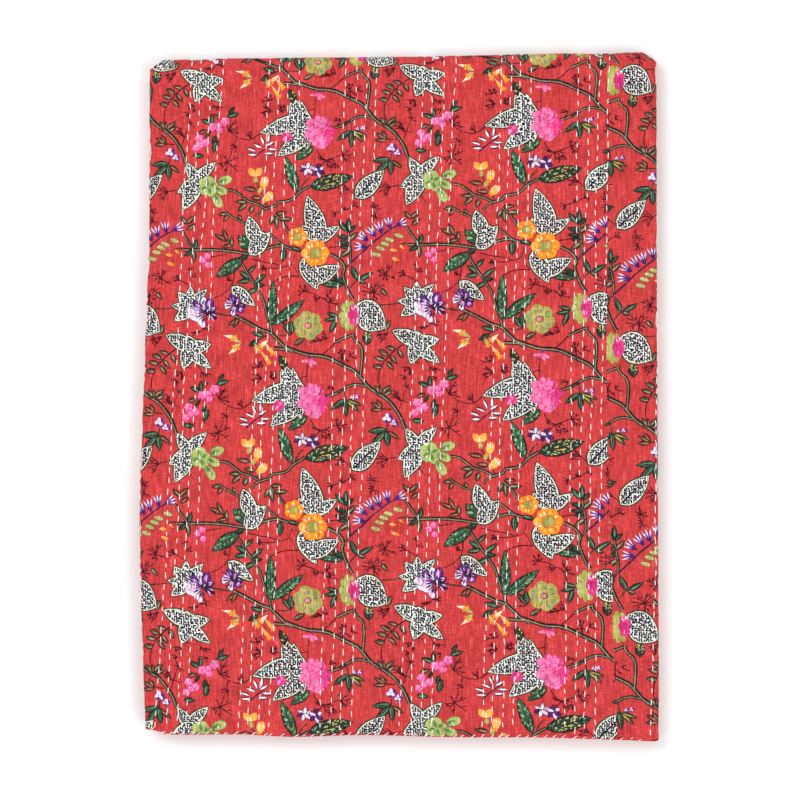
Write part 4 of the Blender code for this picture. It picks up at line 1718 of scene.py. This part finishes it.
# Points of a hem stitch: how far along its slant and its depth, its lift in half thicknesses of the cloth,
# and its radius in millimetres
HEM_LOOP = (
    (1.0, 1.0, 0.9, 0.25),
    (0.75, 0.75, 1.42, 0.42),
    (0.35, 0.35, 1.5, 0.45),
    (0, -0.25, 1.25, 0.45),
    (-0.2, -0.5, 0, 0.45),
    (-0.3, -0.2, -1.1, 0.42),
    (-0.5, 0.8, -1.3, 0.25),
)
HEM_ABOVE_FLOOR = 0.0004
LEVEL_STRETCHES = (0, 2, 4, 6)  # the stretches between the folds
HEM_FIRST, HEM_LAST = 0.004, 0.008  # metres from a fold to the nearest stitches
HEM_STRAY = 0.0016
HEM_SLANTS, HEM_DEPTHS = (0.0030, 0.0048), (0.0012, 0.0026)  # least and most


def hem_stitches(pitch, seed):
    """Slanted stitches over all the hems, from the outer side round the edge to the inner side."""
    rng = np.random.default_rng(seed)
    lines, ups = [], []
    for stretch in LEVEL_STRETCHES:
        for edge, into in ((V_LINES[0], 1), (V_LINES[3], -1)):
            starts = np.arange(U_LINES[stretch] + HEM_FIRST, U_LINES[stretch + 1] - HEM_LAST, pitch)
            starts = starts + rng.normal(0, HEM_STRAY, len(starts))
            slant = rng.uniform(*HEM_SLANTS, len(starts)) * into
            depth = rng.uniform(*HEM_DEPTHS, len(starts))
            line = []
            for share, inward, lift, _ in HEM_LOOP:
                u = starts + slant * share
                v = edge + into * depth * inward
                line.append(side(u, v, np.full(len(u), lift * CLOTH / 2)))
            lines.append(np.stack(line, 1))
            ups.append(off_cloth(starts, np.full(len(starts), edge + into * UNIT)))
    lines = np.concatenate(lines)
    lines[:, :, 2] = np.maximum(lines[:, :, 2], HEM_ABOVE_FLOOR)
    radii = np.array([point[-1] for point in HEM_LOOP]) * 0.001
    return tubes(lines, np.concatenate(ups), radii, sides=5)


# Materials


class Nodes:
    """A new material with a principled surface, and short ways to add nodes to it."""

    def __init__(self, name):
        self.material = bpy.data.materials.new(name)
        self.material.use_nodes = True
        self.tree = self.material.node_tree
        self.surface = self.tree.nodes["Principled BSDF"]

    def add(self, kind, **settings):
        node = self.tree.nodes.new("ShaderNode" + kind)
        for name, value in settings.items():
            setattr(node, name, value)
        return node

    def feed(self, socket, value):
        """Gives a socket a value of its own, or links another node's output to it."""
        if isinstance(value, bpy.types.NodeSocket):
            self.tree.links.new(value, socket)
        else:
            socket.default_value = value

    def maths(self, operation, a, b):
        node = self.add("Math", operation=operation)
        self.feed(node.inputs[0], a)
        self.feed(node.inputs[1], b)
        return node.outputs[0]

    def times(self, a, b):
        return self.maths("MULTIPLY", a, b)

    def plus(self, a, b):
        return self.maths("ADD", a, b)

    def noise(self, vector, scale, detail=2.0, stretch=(1, 1, 1)):
        mapping = self.add("Mapping")
        self.feed(mapping.inputs["Vector"], vector)
        self.feed(mapping.inputs["Scale"], stretch)
        node = self.add("TexNoise")
        self.feed(node.inputs["Vector"], mapping.outputs["Vector"])
        self.feed(node.inputs["Scale"], scale)
        self.feed(node.inputs["Detail"], detail)
        return node.outputs["Fac"]

    def mixed(self, factor, a, b, blend="MIX"):
        node = self.add("Mix", data_type="RGBA", blend_type=blend)
        self.feed(node.inputs[0], factor)
        self.feed(node.inputs[6], a)
        self.feed(node.inputs[7], b)
        return node.outputs[2]

    def shaded(self, colour, shade):
        """A colour made lighter or darker by a shade."""
        grey = self.add("CombineColor")
        for socket in grey.inputs[:3]:
            self.feed(socket, shade)
        return self.mixed(1.0, colour, grey.outputs[0], "MULTIPLY")

    def place_on(self, uv_map):
        return self.add("UVMap", uv_map=uv_map).outputs["UV"]


def dashes(nodes, place):
    """Where the short dashes of the dotted leaves are: one in each cell, each turned its own way."""
    cells = nodes.add("TexVoronoi", voronoi_dimensions="2D")
    cells.inputs["Scale"].default_value = 0.43
    cells.inputs["Randomness"].default_value = 0.7
    nodes.feed(cells.inputs["Vector"], place)
    away = nodes.add("VectorMath", operation="SUBTRACT")
    nodes.feed(away.inputs[0], place)
    nodes.feed(away.inputs[1], cells.outputs["Position"])
    chance = nodes.add("SeparateColor")
    nodes.feed(chance.inputs[0], cells.outputs["Color"])
    turn = nodes.add("VectorRotate", rotation_type="Z_AXIS")
    nodes.feed(turn.inputs["Vector"], away.outputs[0])
    nodes.feed(turn.inputs["Angle"], nodes.times(chance.outputs[0], math.pi * 0.7))
    parts = nodes.add("SeparateXYZ")
    nodes.feed(parts.inputs[0], turn.outputs[0])
    along = nodes.maths("DIVIDE", parts.outputs[0], 1.65)
    aside = nodes.maths("DIVIDE", parts.outputs[1], 0.88)
    return nodes.maths("LESS_THAN", nodes.plus(nodes.times(along, along), nodes.times(aside, aside)), 1.0)


def printed_cotton():
    nodes = Nodes("printed_cotton")
    surface = nodes.surface
    place = nodes.place_on("cloth")
    print_colour = nodes.add("Attribute", attribute_name="print")
    dotted = nodes.times(dashes(nodes, place), print_colour.outputs["Alpha"])
    colour = nodes.mixed(dotted, print_colour.outputs["Color"], (*INKS["ink"], 1))

    # Worn threads show pale, and slubs and blotches shade the rest.
    blotches = nodes.noise(place, 0.06, 3)
    threads = nodes.noise(place, 0.6, 3, (1, 0.1, 1))
    wefts = nodes.noise(place, 0.8, 2, (0.2, 1, 1))
    worn = nodes.times(nodes.maths("SUBTRACT", nodes.times(threads, wefts), 0.26), 0.3)
    colour = nodes.mixed(nodes.maths("MAXIMUM", worn, 0.0), colour, (0.85, 0.78, 0.76, 1))
    shade = nodes.plus(nodes.times(blotches, 0.6), 0.7)
    slubs = nodes.plus(nodes.times(threads, 1.4), nodes.times(wefts, 0.7))
    shade = nodes.plus(shade, nodes.maths("SUBTRACT", slubs, 1.05))
    nodes.feed(surface.inputs["Base Color"], nodes.shaded(colour, shade))
    surface.inputs["Roughness"].default_value = 0.88
    surface.inputs["Specular IOR Level"].default_value = 0.15
    surface.inputs["Sheen Weight"].default_value = 0.04
    surface.inputs["Sheen Roughness"].default_value = 0.6

    weave = nodes.plus(nodes.noise(place, 1.6, 2, (1, 0.35, 1)), nodes.noise(place, 1.6, 2, (0.35, 1, 1)))
    puckers = nodes.noise(nodes.place_on("rows"), 1.0, 2, (0.9, 1.5, 1))
    bump = nodes.add("Bump")
    bump.inputs["Strength"].default_value = 0.5
    bump.inputs["Distance"].default_value = 0.0005
    nodes.feed(bump.inputs["Height"], nodes.plus(weave, nodes.times(puckers, 15.0)))
    nodes.feed(surface.inputs["Normal"], bump.outputs["Normal"])
    return nodes.material


def thread_material(name, colour):
    nodes = Nodes(name)
    surface = nodes.surface
    twist = nodes.noise(nodes.add("TexCoord").outputs["Object"], 900, 2)
    shade = nodes.plus(nodes.times(twist, 0.3), 0.85)
    nodes.feed(surface.inputs["Base Color"], nodes.shaded((*colour, 1), shade))
    surface.inputs["Roughness"].default_value = 0.8
    surface.inputs["Specular IOR Level"].default_value = 0.3
    surface.inputs["Sheen Weight"].default_value = 0.2
    return nodes.material


def floor_paint():
    nodes = Nodes("floor")
    surface = nodes.surface
    surface.inputs["Base Color"].default_value = (0.93, 0.93, 0.93, 1)
    surface.inputs["Roughness"].default_value = 0.9
    surface.inputs["Specular IOR Level"].default_value = 0.1
    return nodes.material


# The quilt

draw_print()
quilt = quilt_object(printed_cotton())
white_thread = thread_material("white_thread", rgb(255, 250, 248))
red_thread = thread_material("red_thread", rgb(186, 36, 44))

# The rows that cross the quilt, and the steps that the face and the underside cover, down from the top
QUILT_ROWS = np.arange(-GROUP, 8 * GROUP)
WHITE = QUILT_ROWS[QUILT_ROWS % GROUP < WHITE_ROWS]
RED = QUILT_ROWS[QUILT_ROWS % GROUP >= WHITE_ROWS]
FACE_Y, UNDER_Y = (20, 745), (-660, 20)

# Along a stitch, how far it stands off the cloth, and its radius. Red thread is finer than white.
BOW = np.array([-0.38, 0.16, 0.27, 0.16, -0.38]) * 0.001
THREAD = np.array([0.3, 0.48, 0.52, 0.48, 0.3]) * 0.001
UNDER_BOW, UNDER_THREAD = np.array([-0.5, 0.15, -0.5]) * 0.001, THREAD[::2]
RED_BOW, RED_THREAD = BOW * 0.6, THREAD * 0.62
THREAD_ABOVE_FLOOR = 0.00001

sewing = []
for name, material, rows, y_range, bow, radii, sides, seed in (
    ("white_stitches", white_thread, WHITE, FACE_Y, BOW, THREAD, 5, 1),
    ("red_stitches", red_thread, RED, FACE_Y, RED_BOW, RED_THREAD, 5, 2),
    ("white_stitches_under", white_thread, WHITE, UNDER_Y, UNDER_BOW, UNDER_THREAD, 4, 3),
    ("red_stitches_under", red_thread, RED, UNDER_Y, UNDER_BOW, RED_THREAD[::2], 4, 4),
):
    sewing.append((name, material, running_stitches(rows, *y_range, bow, radii, sides, seed)))
sewing.append(("white_hem_stitches", white_thread, hem_stitches(pitch=0.0105, seed=5)))
sewing.append(("red_hem_stitches", red_thread, hem_stitches(pitch=0.013, seed=6)))

pieces = []
for name, material, (points, triangles) in sewing:
    points[:, 2] = np.maximum(points[:, 2], THREAD_ABOVE_FLOOR)
    pieces.append(new_object(name, points, triangles, None, material))

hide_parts("quilt")
for piece in [quilt, *pieces]:
    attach(piece, "root")


# The floor, the light and the camera

VIEW_WIDTH = 800 * STEP  # across the picture, at the height of the face
VIEW_MIDDLE = (0.00085, -0.00337)
FACE_HEIGHT = 0.0255
LENS, SENSOR = 300, 36
FLOOR_SIZE, FLOOR_Z = 12, -0.0004

bpy.ops.mesh.primitive_plane_add(size=FLOOR_SIZE, location=(0, 0, FLOOR_Z))
floor = bpy.context.object
floor.name = "floor"
floor.data.materials.append(floor_paint())


def area_light(name, location, size, power):
    light = bpy.data.lights.new(name, "AREA")
    light.size = size
    light.energy = power
    lamp = bpy.data.objects.new(name, light)
    bpy.context.scene.collection.objects.link(lamp)
    lamp.location = location
    lamp.rotation_euler = (-lamp.location).to_track_quat("-Z", "Y").to_euler()


area_light("key", (-1.9, 1.5, 3.4), 2.6, 80)
area_light("fill", (2.0, -1.6, 3.2), 2.8, 58)

scene = bpy.context.scene
scene.view_settings.view_transform = "Standard"
scene.world = bpy.data.worlds.new("world")
scene.world.use_nodes = True
sky = scene.world.node_tree.nodes["Background"]
sky.inputs["Color"].default_value = (1, 1, 1, 1)
sky.inputs["Strength"].default_value = 0.7

camera = bpy.data.objects.new("camera", bpy.data.cameras.new("camera"))
scene.collection.objects.link(camera)
camera.data.lens = LENS
camera.data.sensor_width = SENSOR
camera.data.clip_end = 30
camera.location = (*VIEW_MIDDLE, FACE_HEIGHT + VIEW_WIDTH * LENS / SENSOR)
scene.camera = camera
